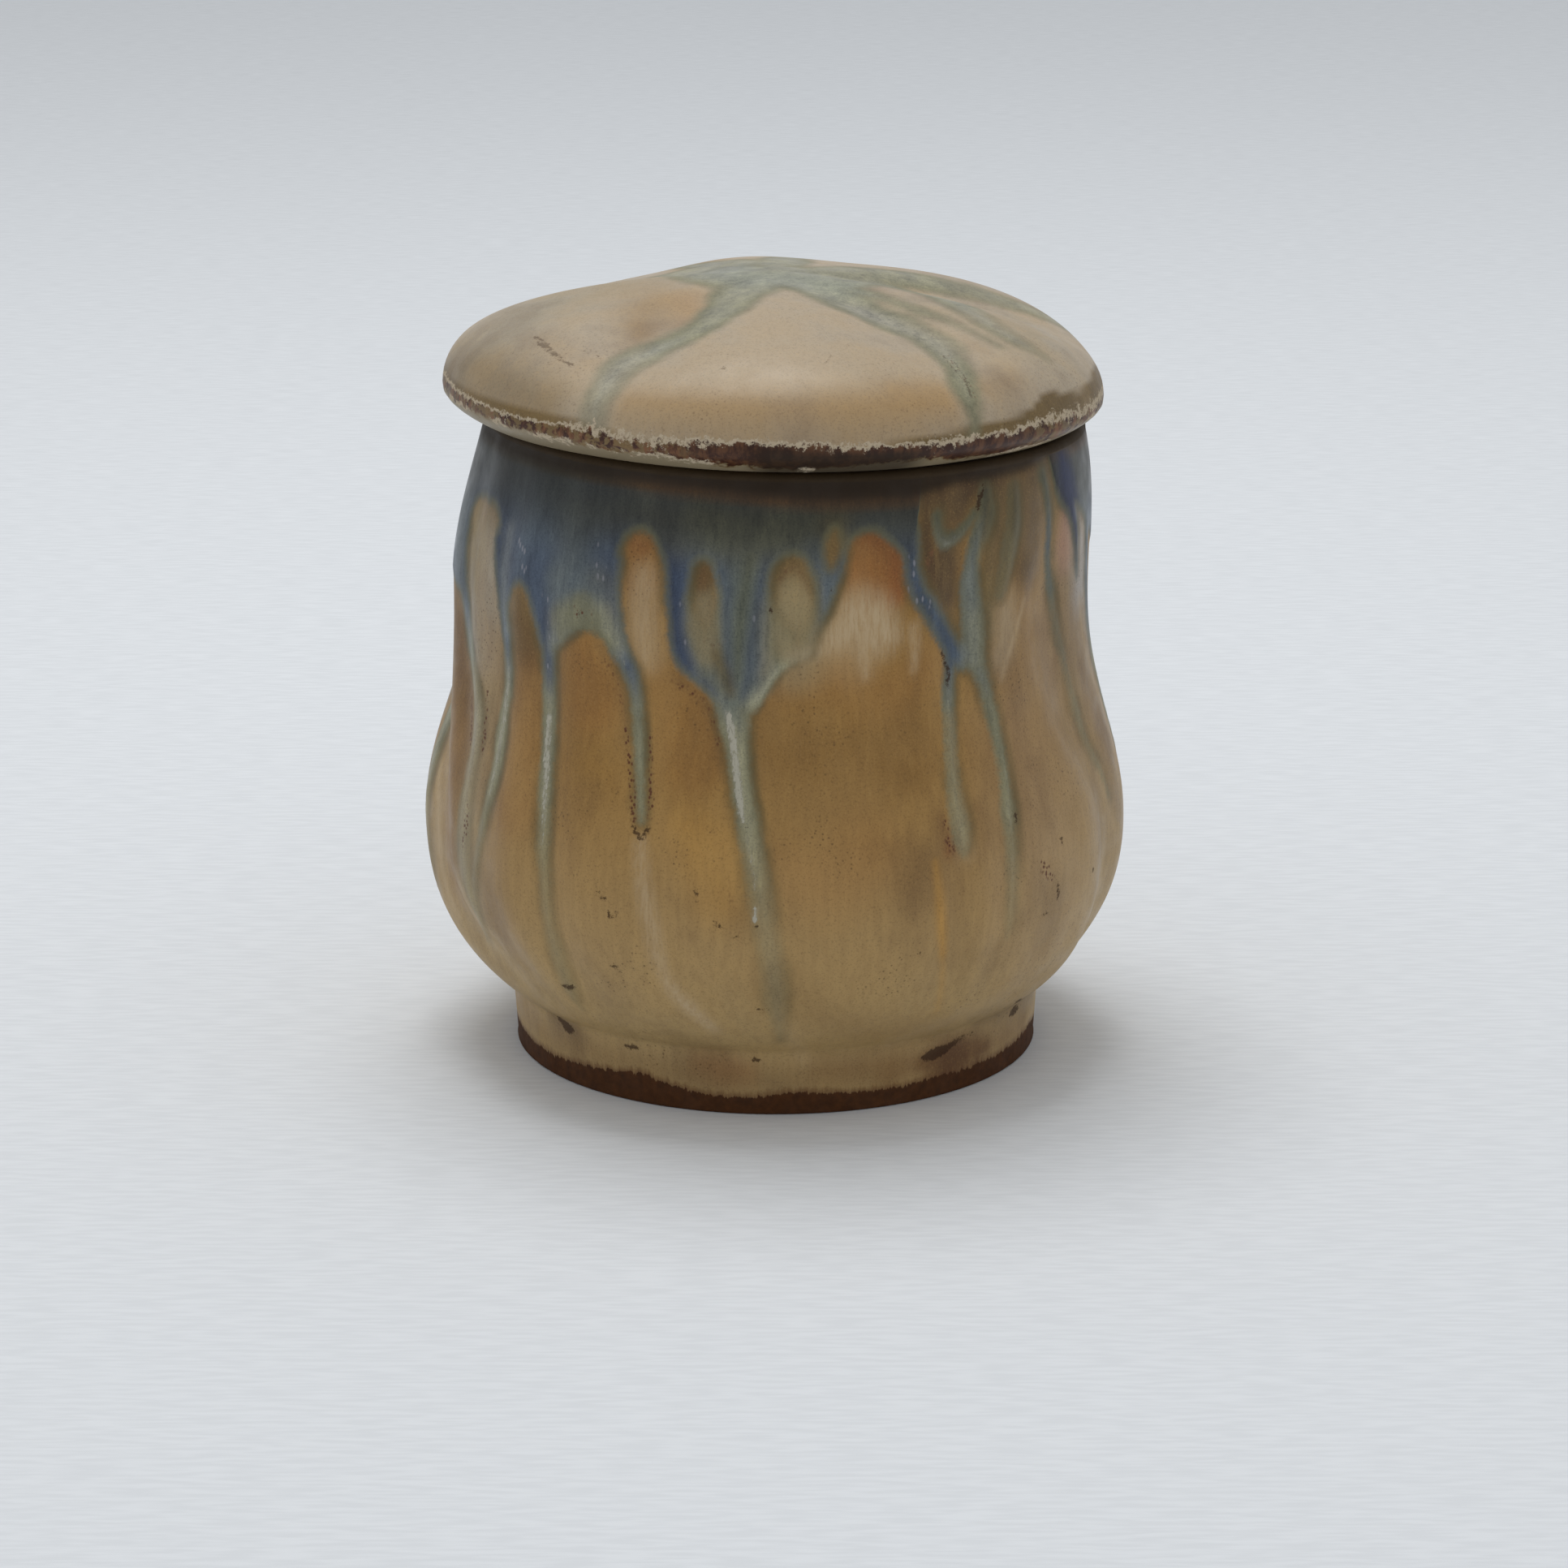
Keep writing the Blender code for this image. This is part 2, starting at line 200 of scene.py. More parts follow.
# The jar's runs of thick glaze: azimuth, height, half width in millimetres, from the top down
STREAMS = (
    ((-92, 84, 2.2), (-91, 72, 1.8), (-90, 60, 2), (-88, 48, 2), (-86, 38, 1.6), (-82, 28, 0.5)),
    ((-77, 90, 2), (-75.5, 84, 1.8), (-73, 78, 1.8), (-70.3, 73, 1.9), (-66.5, 68.5, 1.9),
     (-63.5, 65, 1.8), (-62.2, 60, 1.8), (-62.3, 55, 1.6), (-62.4, 48, 1.7), (-62.3, 40, 1.9),
     (-61.3, 34, 1.6), (-61, 28, 1), (-64, 23, 0.5)),
    ((-59, 92, 1.8), (-57, 85, 1.5), (-55.7, 80, 1.4), (-54.3, 75, 1.4), (-53.3, 70, 1.4),
     (-54, 65, 1.4), (-54, 60, 1.7), (-53.8, 56, 1.5), (-54.7, 50, 1.2), (-55.8, 45, 1.1), (-57, 41, 1),
     (-58.3, 37, 1), (-59.3, 33, 0.9), (-60.5, 28, 0.4)),
    ((-44.5, 88, 2.6), (-44, 83, 2.2), (-43, 79, 2), (-42.8, 75, 1.7), (-42.4, 70, 1.6), (-42, 65, 1.6),
     (-41.5, 60, 1.5), (-41, 55, 1.4), (-40.2, 50, 1.2), (-39.8, 45, 1.1), (-39.3, 40, 1.1),
     (-39, 35, 1.1), (-38.4, 30, 1.3), (-38, 25, 1.4), (-38, 21.5, 1.2), (-38, 17, 0.3)),
    ((-30.5, 92, 2.4), (-29.5, 86, 1.9), (-27.7, 80, 1.9), (-25.9, 77.3, 1.6), (-24.6, 75, 1.6),
     (-23.7, 72, 1.2), (-23.4, 70, 1.1), (-23, 66, 0.9), (-22.5, 60, 0.7), (-22, 55, 0.6),
     (-21.7, 52.3, 0.4)),
    ((-19.5, 97, 2), (-17.8, 93, 1.7), (-17, 89, 1.6), (-16.3, 85, 1.6), (-15.7, 81, 1.8),
     (-14.5, 78, 1.6), (-12.5, 76, 1.4), (-10.5, 74.5, 1.4), (-8.5, 72.5, 1.6), (-7.3, 70.5, 1.9),
     (-6.3, 68, 2.2)),
    ((-5.3, 95, 3.2), (-5.3, 85, 3), (-5.4, 78, 2.6), (-5.8, 72, 2.3)),
    ((-6, 70, 2.2), (-5.7, 66, 1.9), (-5.2, 61, 1.6), (-4.5, 56, 1.6), (-3.6, 51, 1.6), (-2.6, 46, 1.7),
     (-1.9, 41, 1.8), (-1.2, 36, 1.9), (-0.3, 31, 1.9), (0.3, 25, 1.9), (0.6, 20, 1.5), (1.2, 15, 0.4)),
    ((14, 100.8, 1.1), (20, 101.2, 1.3), (23.6, 98.5, 1.6), (24, 93, 1.3), (25.8, 89, 1.4),
     (28, 86, 1.8), (30.5, 83, 1.9), (32.8, 80, 1.8), (35, 77, 1.8), (36.5, 75.5, 1.2)),
    ((34, 76.5, 1.4), (33.3, 73, 1.2), (32.7, 69, 1.3), (32.6, 65, 1.2), (32, 60, 1.1), (31.8, 55, 1.4),
     (32, 51, 1.6), (32, 47.5, 1.2), (32, 45.5, 0.3)),
    ((37, 77.5, 1.6), (39, 75, 1.3), (40.3, 72, 0.9), (41, 69, 0.9), (41.6, 65, 1), (42.2, 60, 0.9),
     (42.2, 56, 0.9), (41.7, 50, 1), (41.5, 45, 0.9), (41.3, 40, 0.9), (41.3, 34, 0.9), (41.4, 30, 0.2)),
    ((39.5, 104, 1.2), (39.2, 100, 1.6), (37.8, 95, 1.6), (37.3, 90, 1.6), (38.1, 85, 1.7),
     (38.7, 80, 1.7), (38.8, 76, 1.6)),
    ((28.5, 100.5, 0.9), (29, 98, 1), (30.8, 96.3, 1.2), (33.5, 97, 1), (35.5, 98.5, 0.9),
     (37, 100, 0.9)),
    ((40, 102.5, 0.7), (40.5, 100, 0.8), (39.3, 96, 0.8)),
    ((46.5, 103, 1.2), (46.3, 98, 1.5), (45.3, 94, 1.6), (44.5, 90, 1.5), (43.5, 86, 0.8)),
    ((56, 104, 1), (57.5, 100, 0.8), (58.5, 96, 0.7), (59, 92, 0.7), (59.7, 88, 0.65), (61, 84, 0.6),
     (62, 80, 0.55), (63, 76.5, 0.6), (64.3, 73, 0.7), (65.8, 69, 0.7), (67.3, 65, 0.6), (69, 60, 0.5),
     (71, 55, 0.4), (74, 50, 0.3), (76, 45, 0.2)),
    ((65, 108, 4.5), (64.5, 102, 3.8), (66.5, 97, 2), (68.5, 93, 1.4), (69.5, 89, 0.9), (70.5, 84, 0.4)),
    ((76, 100, 1.6), (77, 90, 1.5), (79, 80, 1.4), (82, 70, 1.3), (87, 60, 1.1), (90, 50, 0.5)),
    ((96, 90, 2.4), (98, 80, 2), (102, 70, 1.6), (107, 58, 1.5), (109, 46, 1.4), (107, 34, 1),
     (104, 24, 0.3)),
    ((116, 88, 2.2), (117, 76, 1.6), (121, 64, 1.2), (123, 54, 0.9), (123.5, 47, 0.3)),
    ((134, 90, 2.6), (136, 78, 2), (139, 66, 1.6), (140, 54, 1.5), (140.5, 40, 1.4), (141, 28, 1.1),
     (141, 19, 0.3)),
    ((156, 88, 2.2), (156.5, 76, 1.6), (157, 66, 1.2), (157, 58, 0.4)),
    ((174, 92, 2.6), (175.5, 80, 2.1), (177, 68, 1.7), (177, 56, 1.5), (178, 42, 1.4), (179.5, 30, 1.2),
     (180, 22, 0.3)),
    ((195, 88, 2.4), (196, 76, 1.7), (197, 64, 1.4), (197.5, 52, 1.2), (198, 43, 0.4)),
    ((213, 92, 2.6), (215, 80, 2.2), (218, 68, 1.7), (219, 56, 1.6), (220, 42, 1.5), (222, 30, 1.2),
     (223, 21, 0.3)),
    ((228, 86, 1.8), (231, 74, 1.2), (233, 66, 0.4)),
    ((238, 90, 2.4), (242, 76, 1.8), (246, 62, 1.5), (248, 48, 1.4), (251, 34, 1), (253, 25, 0.3)),
    ((256, 88, 2), (258, 78, 1.4), (261, 66, 1), (263, 58, 0.3)),
)

# Lower edge of the band of thick glaze: azimuth and height
BAND_EDGE = (
    (-90, 82), (-80, 81.5), (-75.5, 80), (-66, 80), (-57, 77), (-50, 79), (-43, 76), (-34, 81.3),
    (-27, 78), (-24.5, 77), (-17, 79), (-12, 74), (-7, 70), (-4, 70), (-2, 71.5), (0, 74.5), (2, 77),
    (5, 78.8), (8, 80), (10, 81), (20, 84), (24, 96), (26.5, 112), (56, 112), (58.5, 108), (61, 100),
    (66, 98), (72, 95), (80, 90), (88, 85), (98, 82), (106, 85), (116, 80), (125, 85), (134, 80),
    (145, 86), (156, 80), (165, 85), (174, 80), (185, 86), (195, 80), (205, 86), (213, 80), (222, 84),
    (228, 81), (233, 85), (238, 81), (250, 86), (256, 80), (264, 84),
)

# Lower edge of the dark glaze and of the painted shadow just below the rim
RIM_LINE = (
    (-90, 104), (-60, 104.2), (-30, 104.2), (-12, 103.6), (-2, 103), (6, 102.6), (25, 102.6), (33, 103.8),
    (50, 104), (62, 105.5), (80, 105), (120, 104), (160, 105.5), (200, 104), (240, 105.5),
)
RIM_SOFTNESS = 1.6

# Bays of thin glaze that reach up into the band
BAYS = (
    ((-71.5, 93, 3.3), (-70.4, 86, 3.6), (-68, 79, 3.6), (-65, 73, 3.4)),
    ((-68, 93.4, 3.4), (-67, 86, 4)),
    ((-64, 93, 3.7), (-62.3, 86, 4.5), (-60.3, 79, 3.8), (-58.8, 72, 3.4)),
    ((-50.8, 83.6, 2.5), (-50.3, 80, 3.8), (-49.2, 76, 3.7), (-47.9, 70, 3.5), (-47.6, 66, 3.5)),
    ((-33.8, 77.6, 3.6), (-33.3, 74.3, 6.5), (-32.7, 70, 7.4), (-32.5, 64, 7.6)),
    ((-25.4, 94.6, 3.4), (-24.2, 91, 4.6), (-23, 86, 4.5), (-21.9, 81, 4.4), (-20.8, 78, 4),
     (-18.9, 75, 4.2), (-17, 70, 6)),
    ((-12.9, 92.4, 1.8), (-12.2, 88.8, 2.5), (-11.6, 85, 1.2), (-11, 81, -0.8), (-10, 77, -1.5)),
    ((2.3, 92.6, 3), (3.6, 88.8, 3.6), (4.4, 85, 2), (4.8, 81, -0.4), (5, 79, -1.5)),
    ((9.2, 99.4, 0.2), (9.2, 97.4, 1), (9.3, 94.6, 0.9), (9.6, 92.8, -0.4)),
    ((15.6, 95.8, 3.4), (17.2, 91.5, 5.6), (17.7, 87, 7.1), (18.5, 82.5, 9.2), (19, 78, 12)),
    ((107, 95, 2.8), (108, 86, 5), (110, 76, 6)),
    ((125, 89, 3.6), (127, 82, 5), (129, 74, 5.6)),
    ((145, 97, 3), (146, 88, 5.2), (148, 76, 6.2)),
    ((165, 91, 3.2), (166, 84, 5), (167, 76, 6)),
    ((185, 98, 3.2), (185, 90, 5.4), (186, 78, 6.4)),
    ((204, 90, 3), (205, 84, 5), (207, 76, 6)),
    ((222, 87, 1.8), (222, 81, 3)),
    ((234, 93, 1.9), (235, 84, 2.6), (238, 76, 2.8)),
    ((249, 95, 3.4), (250, 86, 5), (252, 76, 5.6)),
    ((265, 90, 1.8), (267, 82, 2.6), (270, 74, 3)),
)

# Spots where the band is thin but still there
THIN_SPOTS = (
    ((-12.2, 87, 2.6), (-11.6, 83, 3), (-10.6, 79, 2.4), (-9, 76.5, 1.2)),
    ((-9.2, 79, 0.9), (-7.8, 76.5, 1), (-6.6, 74, 0.7)),
    ((-34.5, 86, 2), (-34.5, 82.5, 3.8), (-38, 80.5, 2.2)),
    ((3.6, 87, 4.2), (4.4, 81.5, 4.4)),
    ((-4.8, 95, 0.8), (-5.2, 85, 0.9), (-5.6, 76, 0.6)),
    ((118, 92, 1.6), (119, 84, 1.8)),
    ((157, 94, 1.8), (157, 86, 1.6)),
    ((196, 93, 1.6), (196, 86, 1.6)),
)
# The margin at a spot's edge, how fast it falls inside the spot, and the least that is left
SPOT_EDGE = 1.2
SPOT_SLOPE = 0.8
SPOT_THINNEST = 0.6

# The margins between which the shade beside a run comes: of the place to its left, and its own
SHADE_LEFT = (-0.9, 0.5)
SHADE_OWN = (0.8, -0.4)

# Heights between which the jar's glaze changes, and how much of the change some of them reach. The paling
# towards the foot is partly painted light from the floor, and the rim's shade is painted shade that the
# lid casts.
GROUND_TURNS_PALE = (60, 12)
RUNS_THIN_OUT = (64, 28)
RUNS_TURN_PALE = (34, 58)
RUNS_TURN_BLUE = (66, 78)
TOP_TURNS_DARK = (92, 101)
TOP_SHARE = 0.70
RIM_CASTS_SHADE = (90, 104)
RIM_SHADE_SHARE = 0.50
# Azimuths between which its top turns from slate to brown, and degrees off the front between
# which its flanks turn pink
TOP_TURNS_BROWN = (-50, -20)
FRONT = 4
FLANK_TURNS_PINK = (40, 66)
FLANK_SHARE = 0.75
# The painted shadow under the rim starts this far below the rim's line, and this much farther where the
# top is slate, and is full this far above its start
DARK_START = 0.5
DARK_SLATE_START = 1.0
DARK_RISE = 3.5


def linear(colour):
    """A colour as it is seen, as the linear colour that the nodes take."""
    parts = [part / 255 for part in colour]
    return np.array([p / 12.92 if p <= 0.04045 else ((p + 0.055) / 1.055) ** 2.4 for p in parts])


def smooth(value):
    """0 below 0, 1 above 1, and an even S between them."""
    value = np.clip(value, 0.0, 1.0)
    return value * value * (3 - 2 * value)


def share_up(height, low, high):
    return (height - low) / (high - low)


def fade(value, ends):
    """0 at the first end, 1 at the second, and an even S between them."""
    return smooth(share_up(value, *ends))


def blend(a, b, share):
    """Colour a where the share is 0, and colour b where it is 1."""
    return a * (1 - share) + b * share


def along(height, stations):
    """The smooth value at each height between stations, each a height and its value."""
    value = np.full_like(height, stations[0][1])
    for (low, a), (high, b) in zip(stations, stations[1:]):
        value += (b - a) * smooth(share_up(height, low, high))
    return value


def turned(azimuth, other):
    """The degrees from the other azimuth to this one, the short way round."""
    return (azimuth - other + 180) % 360 - 180


def bump(azimuth, middle, spread):
    """1 at the middle, dying out over the spread to both sides."""
    return np.exp(-((turned(azimuth, middle) / spread) ** 2))


def columns():
    """The azimuths of the mesh's columns, closer together in front."""
    even = np.linspace(-180, 180, COLUMNS, endpoint=False)
    return even - CROWDING * np.sin(np.radians(even))


def bezier(start, handle_a, handle_b, end, count=CURVE_POINTS):
    """Points on a cubic curve, from just after start up to end."""
    t = np.arange(1, count + 1)[:, None] / count
    corners = np.array((start, handle_a, handle_b, end))
    weights = np.hstack(((1 - t) ** 3, 3 * t * (1 - t) ** 2, 3 * t * t * (1 - t), t**3))
    return weights @ corners


def rounded_corner(start, corner, end, count=CORNER_POINTS):
    """Points on a quarter ellipse that rounds the corner, from just after start up to end."""
    turn = np.radians(90 * np.arange(1, count + 1) / count)[:, None]
    start, corner, end = np.array(start), np.array(corner), np.array(end)
    return corner + (start - corner) * (1 - np.sin(turn)) + (end - corner) * (1 - np.cos(turn))


def evenly(points, step):
    """The outline through these points again, with a point about every step."""
    points = np.array(points)
    run = np.concatenate(([0.0], np.cumsum(np.hypot(*np.diff(points, axis=0).T))))
    count = max(2, round(run[-1] / step) + 1)
    places = np.linspace(0, run[-1], count)
    return np.column_stack([np.interp(places, run, points[:, axis]) for axis in (0, 1)])


def jar_centre(height):
    """How far the jar's middle stands off to +X at each height."""
    stations = (
        (0.0, FOOT_OFFSET),
        (BELLY_HEIGHT, 0.0),
        (WAIST_HEIGHT, WAIST_OFFSET),
        (RIM_HEIGHT, RIM_OFFSET),
    )
    return along(height, stations)


def fold_depth(azimuth, height):
    """How deep the folds are. They start over the foot and die out below the rim."""
    start = smooth(2 * share_up(height, FOOT_HEIGHT, BELLY_HEIGHT))
    end = 1 - FOLD_FADE * smooth(share_up(height, WAIST_HEIGHT, RIM_HEIGHT))
    depth = np.zeros(np.broadcast(azimuth, height).shape)
    for at_waist, at_belly, at_foot, deep, spread in FOLDS:
        stations = ((FOOT_HEIGHT, at_foot), (BELLY_HEIGHT, at_belly), (WAIST_HEIGHT, at_waist))
        depth += deep * bump(azimuth, along(height, stations), spread)
    return depth * start * end


def around(azimuth, radius, height, centre):
    """The points at these azimuths round the centre. The lean grows in from waist to rim."""
    turn = np.radians(azimuth)
    x = centre + radius * np.sin(turn)
    y = -radius * np.cos(turn)
    lean = TILT * smooth(share_up(height, WAIST_HEIGHT, RIM_HEIGHT))
    return np.stack(np.broadcast_arrays(x, y, height - lean * x), axis=-1)


def jar_outside():
    """The jar's outside, as (radius, height) from the edge of the foot up to below the rim."""
    edge = (FOOT_RADIUS, FOOT_EDGE)
    foot = (FOOT_TOP_RADIUS, FOOT_HEIGHT)
    belly = (BELLY_RADIUS, BELLY_HEIGHT)
    waist = (WAIST_RADIUS, WAIST_HEIGHT)
    rim = (RIM_RADIUS, RIM_HEIGHT - RIM_EDGE)
    bowl = BELLY_HEIGHT - FOOT_HEIGHT
    flank = WAIST_HEIGHT - BELLY_HEIGHT
    neck = RIM_HEIGHT - WAIST_HEIGHT
    flare = BELLY_RADIUS - FOOT_TOP_RADIUS
    taper = WAIST_RADIUS - RIM_RADIUS
    over_foot = (FOOT_TOP_RADIUS + 0.45 * flare, FOOT_HEIGHT + 0.16 * bowl)
    under_belly = (BELLY_RADIUS, BELLY_HEIGHT - 0.52 * bowl)
    over_belly = (BELLY_RADIUS, BELLY_HEIGHT + 0.34 * flank)
    under_waist = (WAIST_RADIUS, WAIST_HEIGHT - 0.52 * flank)
    over_waist = (WAIST_RADIUS, WAIST_HEIGHT + 0.40 * neck)
    under_rim = (RIM_RADIUS + 0.45 * taper, RIM_HEIGHT - 0.30 * neck)
    parts = [
        np.array([edge, foot]),
        bezier(foot, over_foot, under_belly, belly),
        bezier(belly, over_belly, under_waist, waist),
        bezier(waist, over_waist, under_rim, rim),
    ]
    return evenly(np.vstack(parts), FINE_STEP)


def jar_underside():
    """From near the middle of the recess out to the edge of the foot."""
    ring_inside = FOOT_RADIUS - FOOT_RING_WIDTH
    recess = ring_inside - RECESS_DEPTH
    flat = [
        (COARSE_STEP, RECESS_DEPTH),
        (recess, RECESS_DEPTH),
        (ring_inside, 0.0),
        (FOOT_RADIUS - FOOT_EDGE, 0.0),
    ]
    edge = rounded_corner(flat[-1], (FOOT_RADIUS, 0.0), (FOOT_RADIUS, FOOT_EDGE), FOOT_POINTS)
    spaced = [evenly(ends, COARSE_STEP)[:-1] for ends in zip(flat, flat[1:])]
    return np.vstack([*spaced, flat[-1:], edge[:-1]])


def jar_inside():
    """Over the rim and down the inside to near the middle of the floor."""
    mouth = RIM_RADIUS - WALL
    rim = (RIM_RADIUS, RIM_HEIGHT - RIM_EDGE)
    top_out = (RIM_RADIUS - RIM_EDGE, RIM_HEIGHT)
    top_in = (mouth + RIM_EDGE, RIM_HEIGHT)
    lip = (mouth, RIM_HEIGHT - RIM_EDGE)
    waist = (WAIST_RADIUS - WALL, WAIST_HEIGHT)
    belly = (BELLY_RADIUS - WALL, BELLY_HEIGHT)
    corner = (FOOT_TOP_RADIUS - WALL + FLOOR_CORNER / 2, FLOOR)
    corner_top = (corner[0], FLOOR + FLOOR_CORNER)
    floor_edge = (corner[0] - FLOOR_CORNER, FLOOR)
    neck = RIM_HEIGHT - WAIST_HEIGHT
    flank = WAIST_HEIGHT - BELLY_HEIGHT
    bowl = BELLY_HEIGHT - corner_top[1]
    under_lip = (mouth, RIM_HEIGHT - 0.35 * neck)
    over_waist = (waist[0], WAIST_HEIGHT + 0.35 * neck)
    under_waist = (waist[0], WAIST_HEIGHT - 0.50 * flank)
    over_belly = (belly[0], BELLY_HEIGHT + 0.35 * flank)
    under_belly = (belly[0], BELLY_HEIGHT - 0.50 * bowl)
    over_corner = (corner[0] + 0.30 * FLOOR_CORNER, corner_top[1] + 0.30 * bowl)
    walls = [
        np.array([lip]),
        bezier(lip, under_lip, over_waist, waist),
        bezier(waist, under_waist, over_belly, belly),
        bezier(belly, under_belly, over_corner, corner_top),
        rounded_corner(corner_top, corner, floor_edge),
        np.array([(COARSE_STEP, FLOOR)]),
    ]
    over = [
        rounded_corner(rim, (RIM_RADIUS, RIM_HEIGHT), top_out, RIM_POINTS),
        np.array([top_in]),
        rounded_corner(top_in, (mouth, RIM_HEIGHT), lip, RIM_POINTS)[:-1],
    ]
    return np.vstack([*over, evenly(np.vstack(walls), COARSE_STEP)])


def lid_underside():
    """From near the middle of the lid's hollow, down round the locating ring, out to the seat."""
    seat = RIM_HEIGHT + SEAT_GAP
    outside = RIM_RADIUS - WALL - RING_CLEARANCE
    inside = outside - RING_WALL
    foot = seat - RING_DEPTH
    ceiling = seat + LID_HEIGHT - LID_WALL
    shoulder = seat + 0.45 * (ceiling - seat)
    dome = bezier((0.12 * inside, ceiling), (0.60 * inside, ceiling), (inside, shoulder), (inside, seat))
    down = (inside, foot + RING_EDGE)
    bottom_in = (inside + RING_EDGE, foot)
    bottom_out = (outside - RING_EDGE, foot)
    up = (outside, foot + RING_EDGE)
    parts = [
        evenly(dome, COARSE_STEP),
        np.array([down]),
        rounded_corner(down, (inside, foot), bottom_in, RING_POINTS),
        np.array([bottom_out]),
        rounded_corner(bottom_out, (outside, foot), up, RING_POINTS),
        evenly([up, (outside, seat)], COARSE_STEP)[1:],
    ]
    return np.vstack(parts)


def lid_outside():
    """The lid's outside, from the edge of its seat to near the middle of its crown, as (share of
    the lid's radius, height over the seat)."""
    top = LID_HEIGHT - CROWN_SINK
    rise = top - LID_EDGE_HEIGHT
    reach = RIM_RADIUS + LID_OVERHANG
    roll = LID_EDGE_ROLL / reach
    brim = (1.0, LID_EDGE_HEIGHT)
    over_brim = (1.0, LID_EDGE_HEIGHT + 0.86 * rise)
    under_brim = (1.0, 0.55 * LID_EDGE_HEIGHT)
    beside_seat = (1.0 - 0.80 * roll, 0.10 * LID_EDGE_HEIGHT)
    crown = bezier((0.0, top), (0.34, top - 0.03 * rise), over_brim, brim)
    edge = bezier(brim, under_brim, beside_seat, (1.0 - roll, 0.0), EDGE_POINTS)
    outline = np.vstack([crown, edge])[::-1] * (reach, 1.0)
    return evenly(outline, FINE_STEP) / (reach, 1.0)


def smooth_path(path, parts=4):
    """More points on a path of (azimuth, place, half width), on a soft curve through them."""
    points = np.array(path, dtype=float)
    padded = np.vstack([2 * points[0] - points[1], points, 2 * points[-1] - points[-2]])
    finer = []
    for before, start, end, after in zip(padded, padded[1:], padded[2:], padded[3:]):
        for t in np.arange(parts) / parts:
            pull = (end - before) * t + (2 * before - 5 * start + 4 * end - after) * t**2
            bend = (3 * (start - end) + after - before) * t**3
            finer.append(start + (pull + bend) / 2)
    return np.array([*finer, points[-1]])


class Skin:
    """The outer skin of a piece laid flat, in millimetres, with the glaze painted on it."""

    def __init__(self, azimuth, place, rolled):
        self.azimuth, self.place = np.broadcast_arrays(azimuth, place)
        self.rolled = rolled
        self.margin = np.full(self.azimuth.shape, -FAR)
        self.marks = {}
        self.tints = {}

    def flat(self, azimuth, place, start):
        """Where these places are in the plane, seen from the azimuth where a path starts."""
        if self.rolled:
            return turned(azimuth, start) * MM_PER_DEGREE, place
        turn = np.radians(azimuth)
        return place * np.sin(turn), -place * np.cos(turn)

    def inside(self, path):
        """How far each place is inside the path's edges. Outside them it is negative."""
        points = smooth_path(path)
        u, v = self.flat(self.azimuth, self.place, points[0, 0])
        at_u, at_v = self.flat(points[:, 0], points[:, 1], points[0, 0])
        reach = FAR + points[:, 2].max()
        near = (u > at_u.min() - reach) & (u < at_u.max() + reach)
        near &= (v > at_v.min() - reach) & (v < at_v.max() + reach)
        u, v = u[near], v[near]
        best = np.full(u.shape, -FAR)
        for i in range(len(points) - 1):
            du, dv = at_u[i + 1] - at_u[i], at_v[i + 1] - at_v[i]
            t = np.clip(((u - at_u[i]) * du + (v - at_v[i]) * dv) / max(du * du + dv * dv, 1e-9), 0, 1)
            away = np.hypot(u - at_u[i] - t * du, v - at_v[i] - t * dv)
            half = points[i, 2] + t * (points[i + 1, 2] - points[i, 2])
            best = np.maximum(best, half - away)
        result = np.full(self.azimuth.shape, -FAR)
        result[near] = best
        return result

    def brush(self, path, soft):
        """1 along the path, fading out over this many millimetres round its edges."""
        return smooth(self.inside(path) / soft / 2 + 0.5)

    def paint(self, field, colour):
        """The same colour everywhere, for tints to go over."""
        self.tints[field] = np.broadcast_to(linear(colour), (*self.azimuth.shape, 3))

    def tint(self, field, strokes):
        """Strokes of colour over a field, each a colour, its strength, its softness and a path."""
        for colour, strength, soft, path in strokes:
            weight = (strength * self.brush(path, soft))[..., None]
            self.tints[field] = blend(self.tints[field], linear(colour), weight)

    def mark(self, marks):
        """Strokes in each of these fields, each a strength, its softness and a path."""
        for field, strokes in marks.items():
            for strength, soft, path in strokes:
                old = self.marks.get(field, np.zeros(self.azimuth.shape))
                self.marks[field] = np.maximum(old, strength * self.brush(path, soft))

    def stain(self, paths):
        stains = [self.inside(path) for path in paths]
        self.marks["stain"] = np.maximum.reduce(stains)


def joined(a, b, soft):
    """The larger of the two, a little more where they are alike, so that runs meet in a web."""
    return np.maximum(a, b) + np.maximum(soft - np.abs(a - b), 0.0) ** 2 / (4 * soft)


def cut(a, b, soft):
    """The smaller of the two, with a soft change where they are alike."""
    return -joined(-a, -b, soft)


def around_value(azimuth, stations):
    """The value at each azimuth between stations that go once round."""
    at, values = np.array(stations, dtype=float).T
    return np.interp((azimuth - at[0]) % 360, np.append(at - at[0], 360), np.append(values, values[0]))


def jar_margin(skin):
    """How far inside the thick glaze each place is: the band, its bays, and the runs from it."""
    margin = np.clip(skin.place - around_value(skin.azimuth, BAND_EDGE), -FAR, FAR)
    for path in BAYS:
        margin = cut(margin, -skin.inside(path), JAR_WEB)
    for path in THIN_SPOTS:
        thin = np.maximum(SPOT_EDGE - SPOT_SLOPE * skin.inside(path), SPOT_THINNEST)
        margin = np.minimum(margin, thin)
    for path in STREAMS:
        margin = joined(margin, skin.inside(path), JAR_WEB)
    return margin


